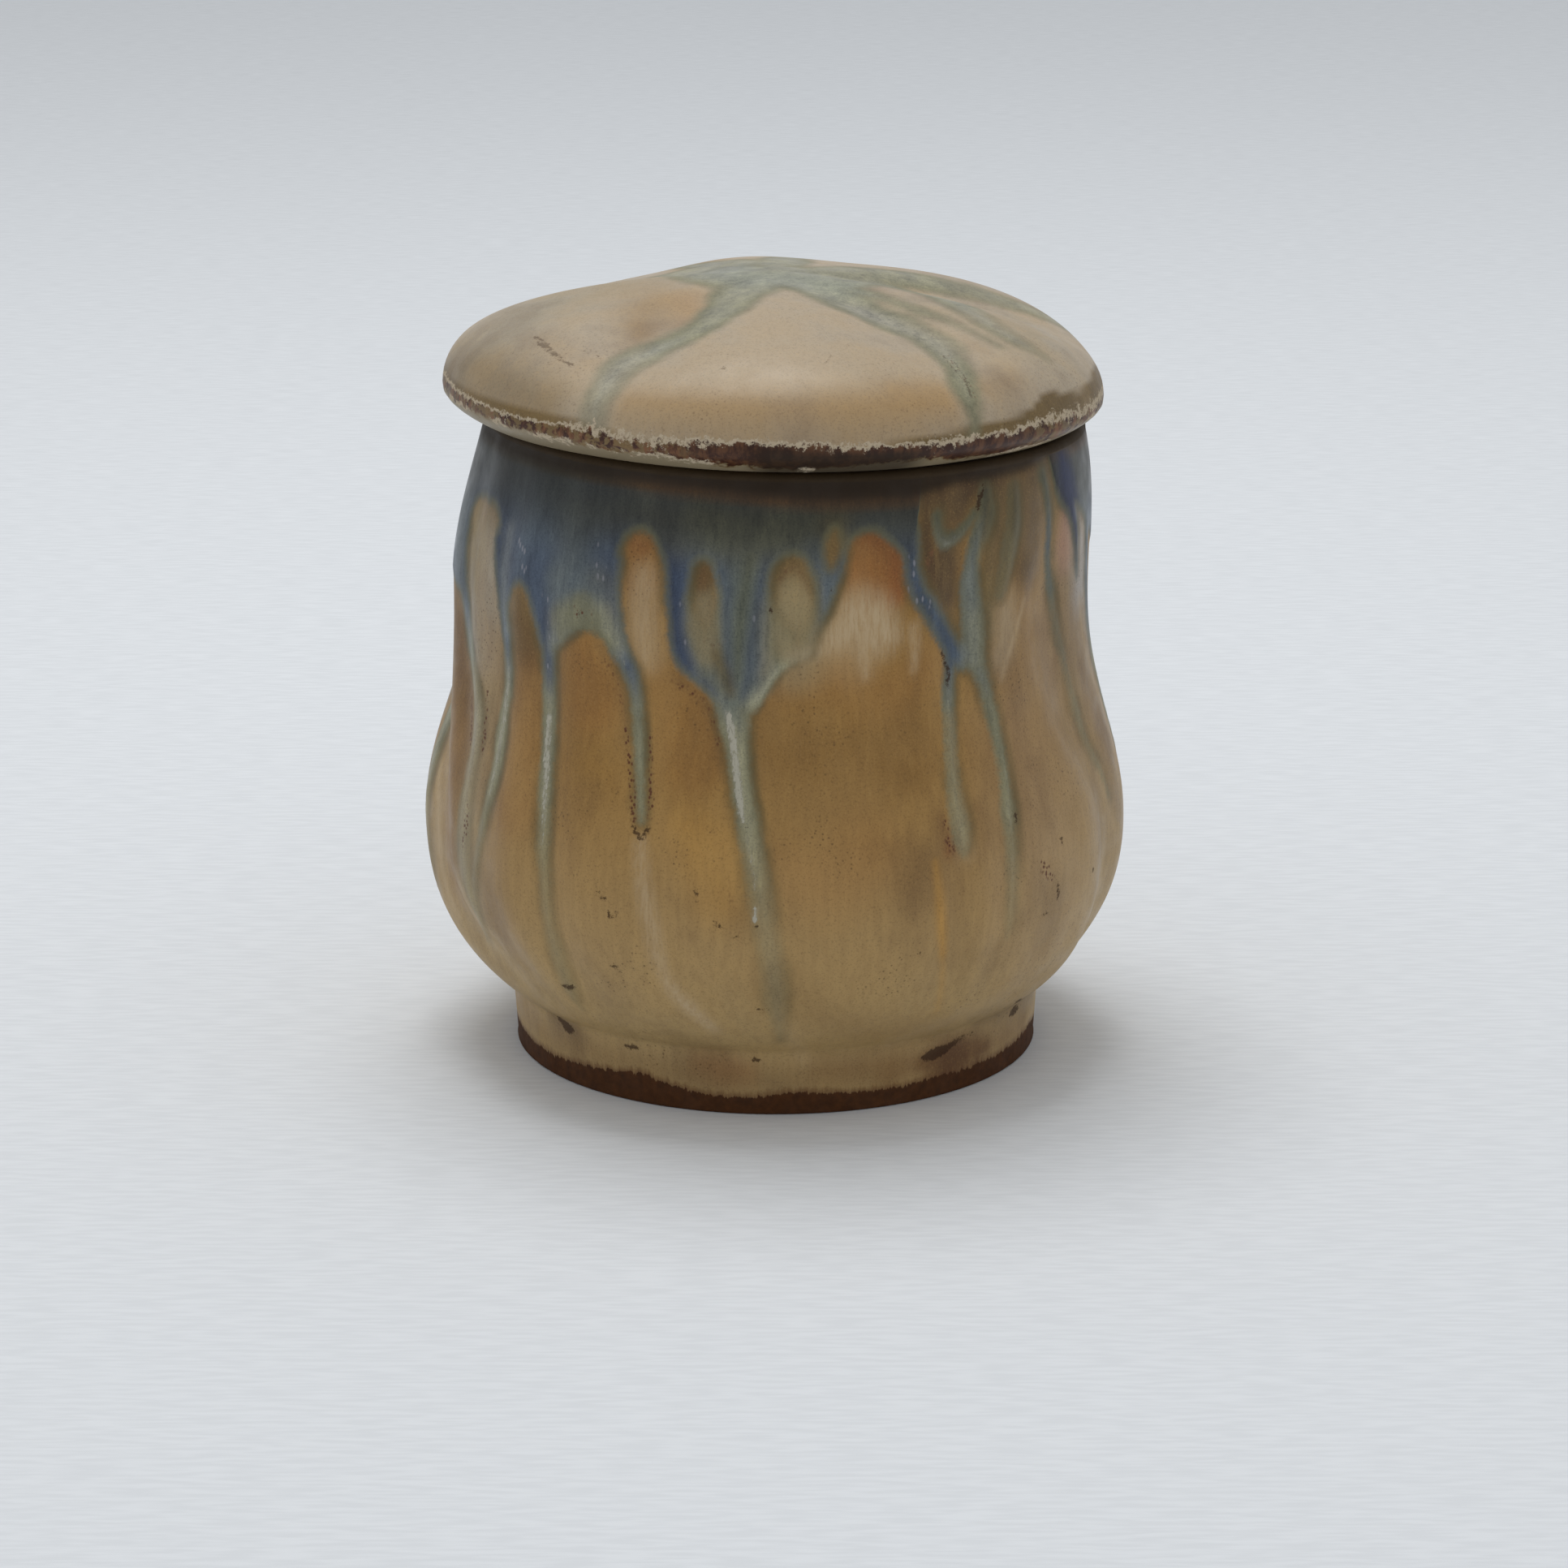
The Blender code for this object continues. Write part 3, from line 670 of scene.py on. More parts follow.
def paint_jar(azimuth, height):
    """The jar's glaze: where it is thick, its colours, and the marks in it."""
    skin = Skin(azimuth, height, rolled=True)
    azimuth, height = skin.azimuth, skin.place
    skin.margin = jar_margin(skin)
    # Painted shade on the right of each run, where it stands proud
    beside = np.roll(skin.margin, SHADE_COLUMNS, axis=1)
    skin.marks["shade"] = fade(beside, SHADE_LEFT) * fade(skin.margin, SHADE_OWN)

    # The thin glaze, paler towards the foot, partly as painted light from the floor
    flank = fade(np.abs(turned(azimuth, FRONT)), FLANK_TURNS_PINK)[..., None] * FLANK_SHARE
    low = np.clip(share_up(height, *GROUND_TURNS_PALE), 0, 1)[..., None]
    ground = blend(linear(OCHRE), linear(PINK_TAN), flank)
    skin.tints["ground"] = blend(ground, linear(LOW_OCHRE_AND_PAINTED_LIGHT), low)
    skin.tint("ground", GROUND_TINTS)

    # The thick glaze, blue above, pale half way down and greenish at the bottom
    high = fade(height, RUNS_TURN_BLUE)[..., None]
    middle = fade(height, RUNS_TURN_PALE)[..., None]
    below = blend(linear(LOW_RUN), linear(PALE_CELADON), middle)
    skin.tints["run"] = blend(below, linear(STEEL), high)
    skin.tint("run", RUN_TINTS)
    browner = fade(azimuth, TOP_TURNS_BROWN)[..., None]
    top = fade(height, TOP_TURNS_DARK)[..., None] * TOP_SHARE
    skin.tints["run"] = blend(skin.tints["run"], blend(linear(TOP_SLATE), linear(TOP_OLIVE), browner), top)

    # Painted shade of the lid over both glazes, then the dark glaze below the rim, olive at the left and
    # brown in front, with painted shadow of the lid in its colour
    over_line = height - around_value(azimuth, RIM_LINE)
    rim_colour = blend(linear(RIM_OLIVE_IN_SHADOW), linear(RIM_BROWN_IN_SHADOW), browner)
    rim_share = smooth(over_line / RIM_SOFTNESS + 0.5)[..., None]
    rim_shade = 1 - RIM_SHADE_SHARE * fade(height, RIM_CASTS_SHADE)[..., None]
    for field in ("ground", "run"):
        skin.tints[field] = blend(skin.tints[field] * rim_shade, rim_colour, rim_share)
        skin.tint(field, LATE_TINTS)

    skin.mark(JAR_MARKS)
    skin.stain(JAR_STAINS)
    skin.marks["faint"] = np.maximum(skin.marks["faint"], fade(height, RUNS_THIN_OUT))
    # Painted shadow of the lid, from a little below the rim's line up
    below_line = DARK_START + DARK_SLATE_START * (1 - browner[..., 0])
    skin.marks["dark"] = smooth((over_line + below_line) / DARK_RISE)
    skin.marks["bare"] = around_value(azimuth, FOOT_EDGE_LINE) - height
    return skin


# Tints of the jar's thin glaze: colour, strength, softness, path
GROUND_TINTS = (
    (GREEN_TAN, 0.6, 3, ((-72, 94, 2.5), (-70, 88, 4), (-67, 83, 3))),
    (GREEN_TAN, 0.6, 3, ((-64, 94, 2.5), (-63.5, 89, 3))),
    (WARM_SAND, 0.55, 3, ((-61.5, 90, 2), (-60, 84, 3), (-59.5, 78, 3))),
    (GREY_SAND, 0.7, 3, ((-71, 84, 2), (-68, 78, 3), (-64, 72, 3))),
    ((178, 172, 158), 0.85, 4, ((-61.4, 92, 2), (-60.6, 87, 2.4), (-60, 80, 2.4))),
    ((172, 158, 128), 0.45, 4, ((-60, 78, 3), (-60, 62, 3), (-61, 46, 4), (-61, 32, 4))),
    ((138, 106, 60), 0.6, 5, ((-50, 52, 3), (-50.6, 40, 4), (-51, 28, 4))),
    ((116, 84, 42), 1, 4, ((-80, 77, 4), (-76, 70, 5), (-71, 60, 5), (-70, 48, 5), (-70, 38, 4))),
    (OLIVE, 0.9, 2.5, ((-50.6, 84, 2), (-50.2, 80, 3.2), (-48.6, 76, 3))),
    (UMBER, 0.6, 2, ((-49.8, 81, 1.4), (-48, 77, 1.6), (-46.6, 74, 1))),
    (ORANGE, 0.25, 3, ((-48, 73, 3), (-47.6, 64, 4), (-47, 50, 4))),
    (ORANGE, 0.4, 3, ((-34, 81, 2), (-33.6, 76, 4), (-32, 70, 5))),
    (UMBER, 0.55, 1.6, ((-31, 79.4, 0.5), (-28.4, 76.4, 0.6), (-26.8, 73, 0.7), (-26, 68, 0.7),
     (-25.4, 62, 0.5))),
    (UMBER, 0.5, 1.6, ((-37, 79.6, 0.4), (-39.2, 76, 0.5), (-39.6, 70, 0.5), (-39.4, 63, 0.3))),
    ((144, 98, 44), 0.9, 2, ((-25.3, 98, 3), (-25, 92.5, 5))),
    (DEEP_ORANGE, 0.5, 1.5, ((-26.4, 96.4, 1.2), (-24.5, 95.4, 1.5))),
    (WARM_SAND, 0.65, 3, ((-23.4, 90, 2.6), (-23, 86, 3), (-22.6, 82, 3.4), (-21.4, 79, 3))),
    (ORANGE, 0.25, 3, ((-18, 74, 4), (-15, 70, 5), (-13, 62, 5))),
    (UMBER, 0.55, 1.4, ((-17, 75.6, 0.5), (-13.4, 73, 0.6), (-10.6, 70.4, 0.6), (-9.2, 66, 0.6),
     (-8.2, 60, 0.4))),
    (OLIVE, 0.9, 1.6, ((-12.9, 93, 2.4), (-12.4, 90, 2.4))),
    ((146, 136, 104), 0.9, 2.5, ((-11.8, 87, 2.8), (-11, 82, 3.6), (-10, 78, 2.6))),
    (UMBER, 0.8, 1.2, ((-12.9, 92.8, 0.9), (-12.7, 90.6, 1.2))),
    (OLIVE, 0.95, 2, ((2.4, 94.4, 3), (3.4, 92, 3.4))),
    ((152, 140, 106), 0.95, 3, ((3.6, 88.6, 3.8), (4, 84, 6), (4, 80, 6))),
    (UMBER, 0.6, 1, ((0.6, 91.6, 0.5), (2, 93.4, 0.6), (4, 93, 0.5), (6.4, 90, 0.5))),
    (OLIVE, 0.85, 1.5, ((9.6, 99.5, 2), (9.3, 94.6, 2))),
    (ORANGE, 1, 2, ((15.5, 98.6, 3), (17.3, 94, 5.6), (17.8, 91.4, 6))),
    (DEEP_ORANGE, 0.85, 1.6, ((20.3, 96, 1.2), (21.7, 92, 1.8), (21.6, 88.6, 1.4))),
    (DEEP_ORANGE, 0.6, 1.4, ((14.6, 98.6, 1.4), (17.4, 97.8, 1.8))),
    (WARM_SAND, 0.6, 3, ((14, 88, 3), (15, 84, 5), (14, 80, 5))),
    (UMBER, 0.3, 3, ((0, 74, 2), (-2, 68, 2), (-1.5, 60, 2))),
    (UMBER, 0.3, 6, ((5, 66, 5), (8, 58, 7), (22, 64, 6))),
    (ORANGE, 0.25, 4, ((3, 76, 4), (9, 76, 4), (19, 73, 4), (28, 76, 3))),
    # Painted highlight: a golden sheen on the belly
    (GOLD_HIGHLIGHT, 0.3, 4, ((-14, 52, 3), (-9.6, 48, 5), (-8, 41, 4))),
    (ORANGE, 0.25, 5, ((4, 46, 4), (8, 44, 6), (14, 48, 6))),
    ((70, 46, 28), 0.95, 2.5, ((27, 103, 1.6), (26.6, 97, 1.6), (27.8, 92, 1.8))),
    ((74, 54, 28), 0.98, 2.6, ((31, 95, 2.8), (31.4, 90, 3.6), (32.6, 86.5, 2.6))),
    ((120, 98, 60), 0.7, 2, ((33.2, 84, 1.4), (35.4, 80, 1))),
    ((84, 60, 34), 0.95, 2, ((33, 103.4, 3.4), (33.2, 100.4, 2.2))),
    ((84, 64, 40), 0.8, 2.5, ((27, 105, 2), (40, 105, 2), (56, 105, 2))),
    ((112, 106, 80), 0.7, 1.6, ((41.4, 96, 0.8), (41.2, 88, 1.2), (41.2, 80, 1))),
    ((118, 92, 50), 0.6, 2.5, ((-50.4, 85, 2), (-49.6, 78, 2.6))),
    ((168, 148, 128), 0.4, 3, ((-61, 78, 2), (-60, 72, 2.6))),
    ((90, 70, 44), 0.9, 2.4, ((42.6, 104, 2.6), (42.4, 97, 2.2), (41.6, 91, 1.6))),
    ((80, 62, 34), 0.92, 4, ((50.4, 103, 5.5), (51.6, 97, 5.5), (51.6, 90.5, 5))),
    (OLIVE, 0.35, 3, ((42, 80, 1.5), (42.4, 74, 1.5))),
    (GREY_SAND, 0.5, 3, ((45, 83, 2.4), (45.6, 79, 3), (44, 75, 2))),
    (ROSE, 0.85, 2, ((64.3, 96.4, 1.6), (64.6, 91, 2.4), (65.2, 87, 2))),
    (PINK_TAN, 0.7, 4, ((65.6, 84, 3), (68, 74, 4), (72, 64, 4))),
    (UMBER, 0.3, 3, ((50, 82, 2), (50.6, 76, 2), (49, 68, 2))),
    (UMBER, 0.45, 2, ((72, 68, 1.6), (75, 62, 2.4), (80, 54, 3))),
    (DEEP_ORANGE, 0.5, 1, ((29.6, 48.6, 0.5), (29, 46.6, 0.8))),
    # Painted highlight along the edge of a groove, in two strokes
    (GOLD_HIGHLIGHT, 0.7, 1, ((26.3, 45.4, 0.5), (26.8, 40, 0.8), (27.5, 34, 0.8), (28.3, 29.6, 0.5))),
    (GOLD_HIGHLIGHT, 0.4, 1, ((28.3, 29.6, 0.4), (29.4, 24, 0.4), (30.6, 18, 0.3))),
    (UMBER, 0.4, 4, ((23.5, 46, 3), (22.6, 41, 3))),
    (UMBER, 0.45, 1.6, ((-13.8, 35.2, 0.5), (-13, 34.6, 0.5))),
    (RUST, 0.45, 1.5, ((28.2, 52, 0.6), (29.2, 48.6, 1), (30, 46.4, 1))),
    (UMBER, 0.25, 3, ((0, 26, 4), (14, 17, 3), (34, 13, 3))),
    (UMBER, 0.45, 3, ((-80, 9, 3), (-60, 7, 3), (-30, 6.5, 3), (0, 6, 3), (24, 6, 3))),
    ((146, 100, 58), 0.55, 3, ((-16, 8.6, 1.6), (-11, 8, 2.6), (-6, 7.6, 1.6))),
    (RUST, 0.4, 2.5, ((8, 7.6, 0.6), (14, 7.8, 1.4), (24, 7.8, 1.6), (30, 7.6, 1.2))),
    (RUST, 0.5, 3, ((24, 5, 1.5), (31, 6.2, 2), (38, 7, 2.6), (46, 6.6, 2.6), (56, 6, 2.2),
     (70, 6.4, 2))),
    ((174, 156, 134), 0.3, 8, ((46, 66, 7), (48, 44, 9), (50, 24, 8))),
    ((164, 142, 118), 0.5, 4, ((60, 88, 2), (60, 78, 3), (61, 66, 3))),
    # Painted shade under the lid's brim, at the right
    ((30, 26, 18), 0.85, 3, ((46, 107, 1.5), (58, 106.5, 2.6), (80, 107, 3.5))),
    ((142, 114, 72), 0.55, 4, ((-52, 37, 3), (-52, 30, 4))),
    # Partly greyish glaze and partly a painted highlight, a pale upright streak near the right edge
    ((172, 172, 172), 0.72, 4, ((69, 98, 2.5), (72, 90, 4), (73, 82, 4))),
    ((74, 56, 34), 0.6, 3, ((29, 104, 2), (31, 100, 2))),
    ((80, 64, 42), 0.55, 3, ((48, 104, 3), (51, 99, 3))),
    ((124, 100, 66), 0.55, 4, ((50, 36, 3), (51, 28, 3))),
    ((96, 62, 36), 0.95, 1.6, ((33, 6.6, 1.6), (36, 6.2, 2.6), (40, 6, 3.2), (44, 6.4, 3),
     (48, 6.4, 2.4), (52, 6.2, 1.4))),
    ((96, 78, 56), 0.6, 3, ((48, 11, 1.5), (60, 10.6, 2.4), (76, 10.6, 3))),
    ((96, 74, 48), 0.6, 2.5, ((-56, 10.4, 1), (-48, 9.6, 1.8), (-44, 9, 0.6))),
    ((146, 112, 68), 0.85, 4, ((-70, 58, 3), (-71, 46, 4), (-71, 32, 3))),
    (UMBER, 0.35, 1.2, ((8, 10.2, 0.4), (30, 10.4, 0.5), (50, 10.2, 0.4))),
    (ORANGE, 0.35, 3, ((100, 78, 4), (108, 88, 5), (112, 74, 5))),
    (ORANGE, 0.8, 2, ((107, 97, 3), (107, 93, 4))),
    (OLIVE, 0.7, 2, ((125, 91, 3), (126, 87, 4))),
    (ORANGE, 0.9, 2, ((145, 99, 3), (145, 93, 4))),
    (WARM_SAND, 0.6, 3, ((146, 88, 4), (148, 80, 5))),
    (ORANGE, 0.6, 2.5, ((165, 93, 3), (166, 88, 4))),
    (ORANGE, 0.95, 2, ((185, 100, 3), (185, 94, 5))),
    (MIST_AND_HIGHLIGHT, 0.5, 3, ((185, 88, 4), (186, 80, 5))),
    (OLIVE, 0.6, 2, ((204, 92, 3), (205, 88, 4))),
    (OLIVE, 0.8, 1.5, ((222, 88, 2), (222, 82, 3))),
    (UMBER, 0.6, 2, ((234, 94, 2), (235, 88, 2.5))),
    (ORANGE, 0.85, 2, ((249, 97, 3), (250, 91, 4))),
    (OCHRE, 0.6, 8, ((120, 60, 8), (160, 56, 8), (200, 60, 8), (240, 56, 8))),
    (UMBER, 0.3, 6, ((130, 60, 3), (130, 44, 4))),
    (UMBER, 0.3, 6, ((186, 62, 3), (188, 44, 4))),
)

# Tints of the jar's thick glaze
RUN_TINTS = (
    (GREY_BLUE, 0.7, 4, ((-90, 96, 6), (-80, 92, 5), (-76, 84, 3), (-70, 73, 2))),
    (PALE_CELADON, 0.6, 3, ((-70, 74, 2.4), (-66, 68, 2.4))),
    (DEEP_BLUE, 0.75, 4, ((-66, 102, 2), (-60, 98, 3), (-57, 92, 3), (-55, 87, 2))),
    (SAGE, 0.35, 4, ((-44, 103, 3), (-40, 98, 4), (-38, 92, 4))),
    (GREEN_TAN, 0.55, 2.5, ((-41, 82, 1.6), (-39, 79, 1.4))),
    (GREEN_TAN, 0.55, 2.5, ((-30, 85, 1.4), (-28.6, 80, 1.4))),
    (DEEP_BLUE, 0.55, 3, ((-47, 90, 2), (-45, 84, 2), (-43.6, 78, 2), (-42.8, 73, 1.5))),
    (GREY_BLUE, 0.7, 2, ((-41, 88, 3), (-38, 85, 3), (-33, 88, 3))),
    (CELADON, 0.85, 2, ((-39, 82.5, 2.4), (-34, 83.5, 3), (-29, 80, 1.2))),
    (DEEP_BLUE, 0.5, 3, ((-29, 102, 2), (-31, 96, 2), (-30.4, 90, 1.4))),
    (DEEP_BLUE, 0.8, 2, ((-23, 100.6, 1.6), (-19.4, 97, 2), (-17, 89, 2), (-15.6, 81, 2),
     (-13.4, 77, 1.4), (-10, 74, 0.8))),
    (SAGE, 0.75, 3, ((-14, 101, 3), (-8, 99, 4), (2, 100, 4), (12, 103, 3))),
    ((138, 132, 106), 0.9, 2, ((-12, 87.5, 2.6), (-11.4, 84, 3), (-10.6, 79.6, 2.6))),
    (OLIVE, 0.75, 1.2, ((-9.2, 79.4, 0.9), (-7.8, 76.5, 1), (-6.6, 73.6, 0.7))),
    ((108, 114, 104), 0.85, 2, ((-5, 93, 3), (-5, 86, 3.4), (-5.4, 77, 2.8), (-5.6, 71, 2.4))),
    (SAGE, 0.75, 1.2, ((-4.8, 95, 0.9), (-5.2, 85, 1), (-5.6, 76, 0.7))),
    (DEEP_BLUE, 0.5, 1.2, ((-2.3, 95, 0.8), (-2.4, 88, 0.8), (-3.4, 79, 0.7), (-4.4, 73, 0.5))),
    (DEEP_BLUE, 0.4, 1.2, ((-7.8, 90, 0.6), (-7.2, 82, 0.6), (-6.6, 75, 0.6))),
    ((150, 142, 112), 0.95, 2.5, ((3.6, 90, 3.4), (3.6, 86, 4.4), (4.4, 81, 5))),
    (GREY_BLUE, 0.8, 1.3, ((5, 97.6, 0.8), (7.5, 94, 0.8), (9.5, 91, 0.9), (9.4, 87, 0.8),
     (7.6, 82, 0.8))),
    (PALE_CELADON, 0.85, 1.6, ((-4.4, 70.4, 1), (-2, 72.4, 1.2), (0, 75.4, 1.4), (3, 79, 1.4),
     (8, 80.6, 1.2))),
    (STEEL, 0.8, 2, ((12, 101.2, 1.2), (18, 101.4, 1.4))),
    (DEEP_BLUE, 0.62, 2, ((22.6, 100, 1.8), (24, 95, 1.8), (25.7, 89, 1.8), (30.3, 83, 2),
     (34, 78, 1.8))),
    ((122, 126, 116), 0.9, 2, ((38.6, 102, 1.6), (37.5, 92, 2), (38.8, 80, 2.4), (39, 75, 2))),
    (CELADON, 0.9, 1.6, ((28.6, 100.5, 1.2), (31, 96, 1.2), (34, 97.4, 1.2), (37, 100.2, 0.8))),
    (CELADON, 0.8, 1.6, ((40.2, 102.5, 1.2), (40.4, 99, 1), (39, 92.5, 0.6))),
    (CELADON, 0.9, 2, ((46.6, 103, 1.6), (45.3, 93, 2), (43.5, 86, 1.5))),
    ((124, 126, 112), 0.9, 2, ((59.6, 88, 2), (61, 84, 2), (64, 74, 2), (67, 66, 2))),
    (DEEP_BLUE, 0.5, 1.6, ((57.6, 99, 1), (59.4, 90, 1.2), (61.2, 83, 0.8))),
    ((38, 46, 72), 1, 2.5, ((64, 109, 6), (64.6, 102, 4), (67.6, 94.6, 1.8), (69.4, 89, 1))),
    # Painted shade under the lid's brim, at the left
    ((34, 38, 40), 0.9, 4, ((-96, 105, 6), (-78, 103, 5), (-62, 103, 3), (-46, 104, 1.5))),
    # Painted shade under the lid's brim, at the right
    ((24, 24, 22), 0.9, 3, ((46, 107, 1.5), (58, 106.5, 3), (80, 107, 3.5))),
    ((74, 58, 30), 0.6, 2.5, ((6, 104.4, 1.4), (14, 103.6, 1.8), (24, 103.4, 1.8), (32, 104.4, 1.4))),
    ((136, 114, 66), 0.8, 2.5, ((8.4, 100.6, 1.4), (10.4, 99.6, 1.8), (11, 97.6, 1.4))),
    ((112, 110, 90), 0.4, 3, ((-22, 97, 1.5), (-10, 96, 2.5), (2, 96, 2.5))),
    ((118, 116, 88), 0.6, 1.6, ((-12, 76.4, 0.8), (-9.6, 75, 1), (-8.4, 74, 0.8))),
    ((108, 104, 88), 0.45, 3, ((-32, 90, 1.4), (-29, 89, 1.6))),
    ((150, 150, 130), 0.55, 2, ((-41, 78, 2), (-38, 82, 2), (-34, 84.5, 2.4), (-30, 82.5, 2),
     (-27, 79, 1.4))),
    ((146, 144, 120), 0.7, 3, ((39.4, 82, 2), (40, 76, 2))),
    ((192, 188, 160), 0.75, 1.2, ((-3.2, 69, 0.5), (-0.6, 74, 0.6), (3, 77.6, 0.7), (8, 79.6, 0.6),
     (10.6, 84, 0.4))),
    ((150, 154, 150), 0.6, 2, ((-56.4, 94, 0.8), (-56, 86, 1), (-54.6, 78, 1))),
    ((94, 98, 90), 0.45, 4, ((-36, 100, 1.5), (-20, 100, 2.5), (-6, 99, 1.5))),
    ((178, 168, 146), 0.55, 3, ((-61, 68, 2), (-61, 54, 3), (-61, 38, 3))),
    ((154, 144, 112), 0.55, 1.5, ((0.6, 84, 0.8), (0.2, 80, 1), (-1, 77, 0.8))),
    ((90, 108, 118), 0.35, 2, ((25, 94, 1), (29, 85, 1.4), (34, 77, 1.4))),
    ((94, 106, 116), 0.6, 1.6, ((12, 99.6, 0.8), (17, 100.6, 1.2), (23, 98.6, 1.2))),
    ((76, 92, 112), 0.45, 2, ((-74, 100, 2), (-62, 99, 2.4), (-52, 100, 2))),
    ((156, 158, 146), 0.7, 1.2, ((28, 101, 0.6), (29, 97, 0.7), (31.4, 95.6, 0.8), (34.6, 96.4, 0.7),
     (37.6, 99, 1))),
    (GREY_BLUE, 0.8, 3, ((74, 100, 2), (74, 90, 2))),
    (DEEP_BLUE, 0.7, 4, ((96, 96, 4), (98, 86, 3))),
    (DEEP_BLUE, 0.7, 4, ((134, 98, 5), (134, 84, 3))),
    (SAGE, 0.6, 4, ((116, 98, 5), (117, 88, 3))),
    (DEEP_BLUE, 0.8, 4, ((175, 99, 5), (174, 84, 3))),
    (SAGE, 0.6, 4, ((156, 99, 4), (156, 88, 3))),
    (DEEP_BLUE, 0.7, 4, ((213, 99, 5), (214, 84, 3))),
    (SAGE, 0.6, 4, ((196, 99, 4), (196, 88, 3))),
    (DEEP_BLUE, 0.75, 4, ((240, 99, 5), (240, 84, 3))),
    (GREY_BLUE, 0.7, 5, ((260, 99, 6), (257, 88, 3))),
)

# Tints laid last, over both glazes and over the dark glaze below the rim
LATE_TINTS = (
    ((22, 34, 74), 0.9, 2.2, ((63.6, 106, 1.6), (65, 102, 3), (67, 97.6, 2.2), (68.6, 93, 1),
     (69.6, 88, 0.5))),
    # Painted shade under the lid's brim
    ((44, 46, 46), 0.6, 2.5, ((57, 106, 1.6), (60, 105, 2))),
    (OLIVE, 0.6, 1.2, ((-9.2, 79.4, 0.9), (-7.8, 76.5, 1), (-6.6, 73.6, 0.7))),
    ((92, 84, 58), 0.35, 3, ((42, 100, 1.6), (41.6, 90, 2), (41.6, 82, 1.6))),
)

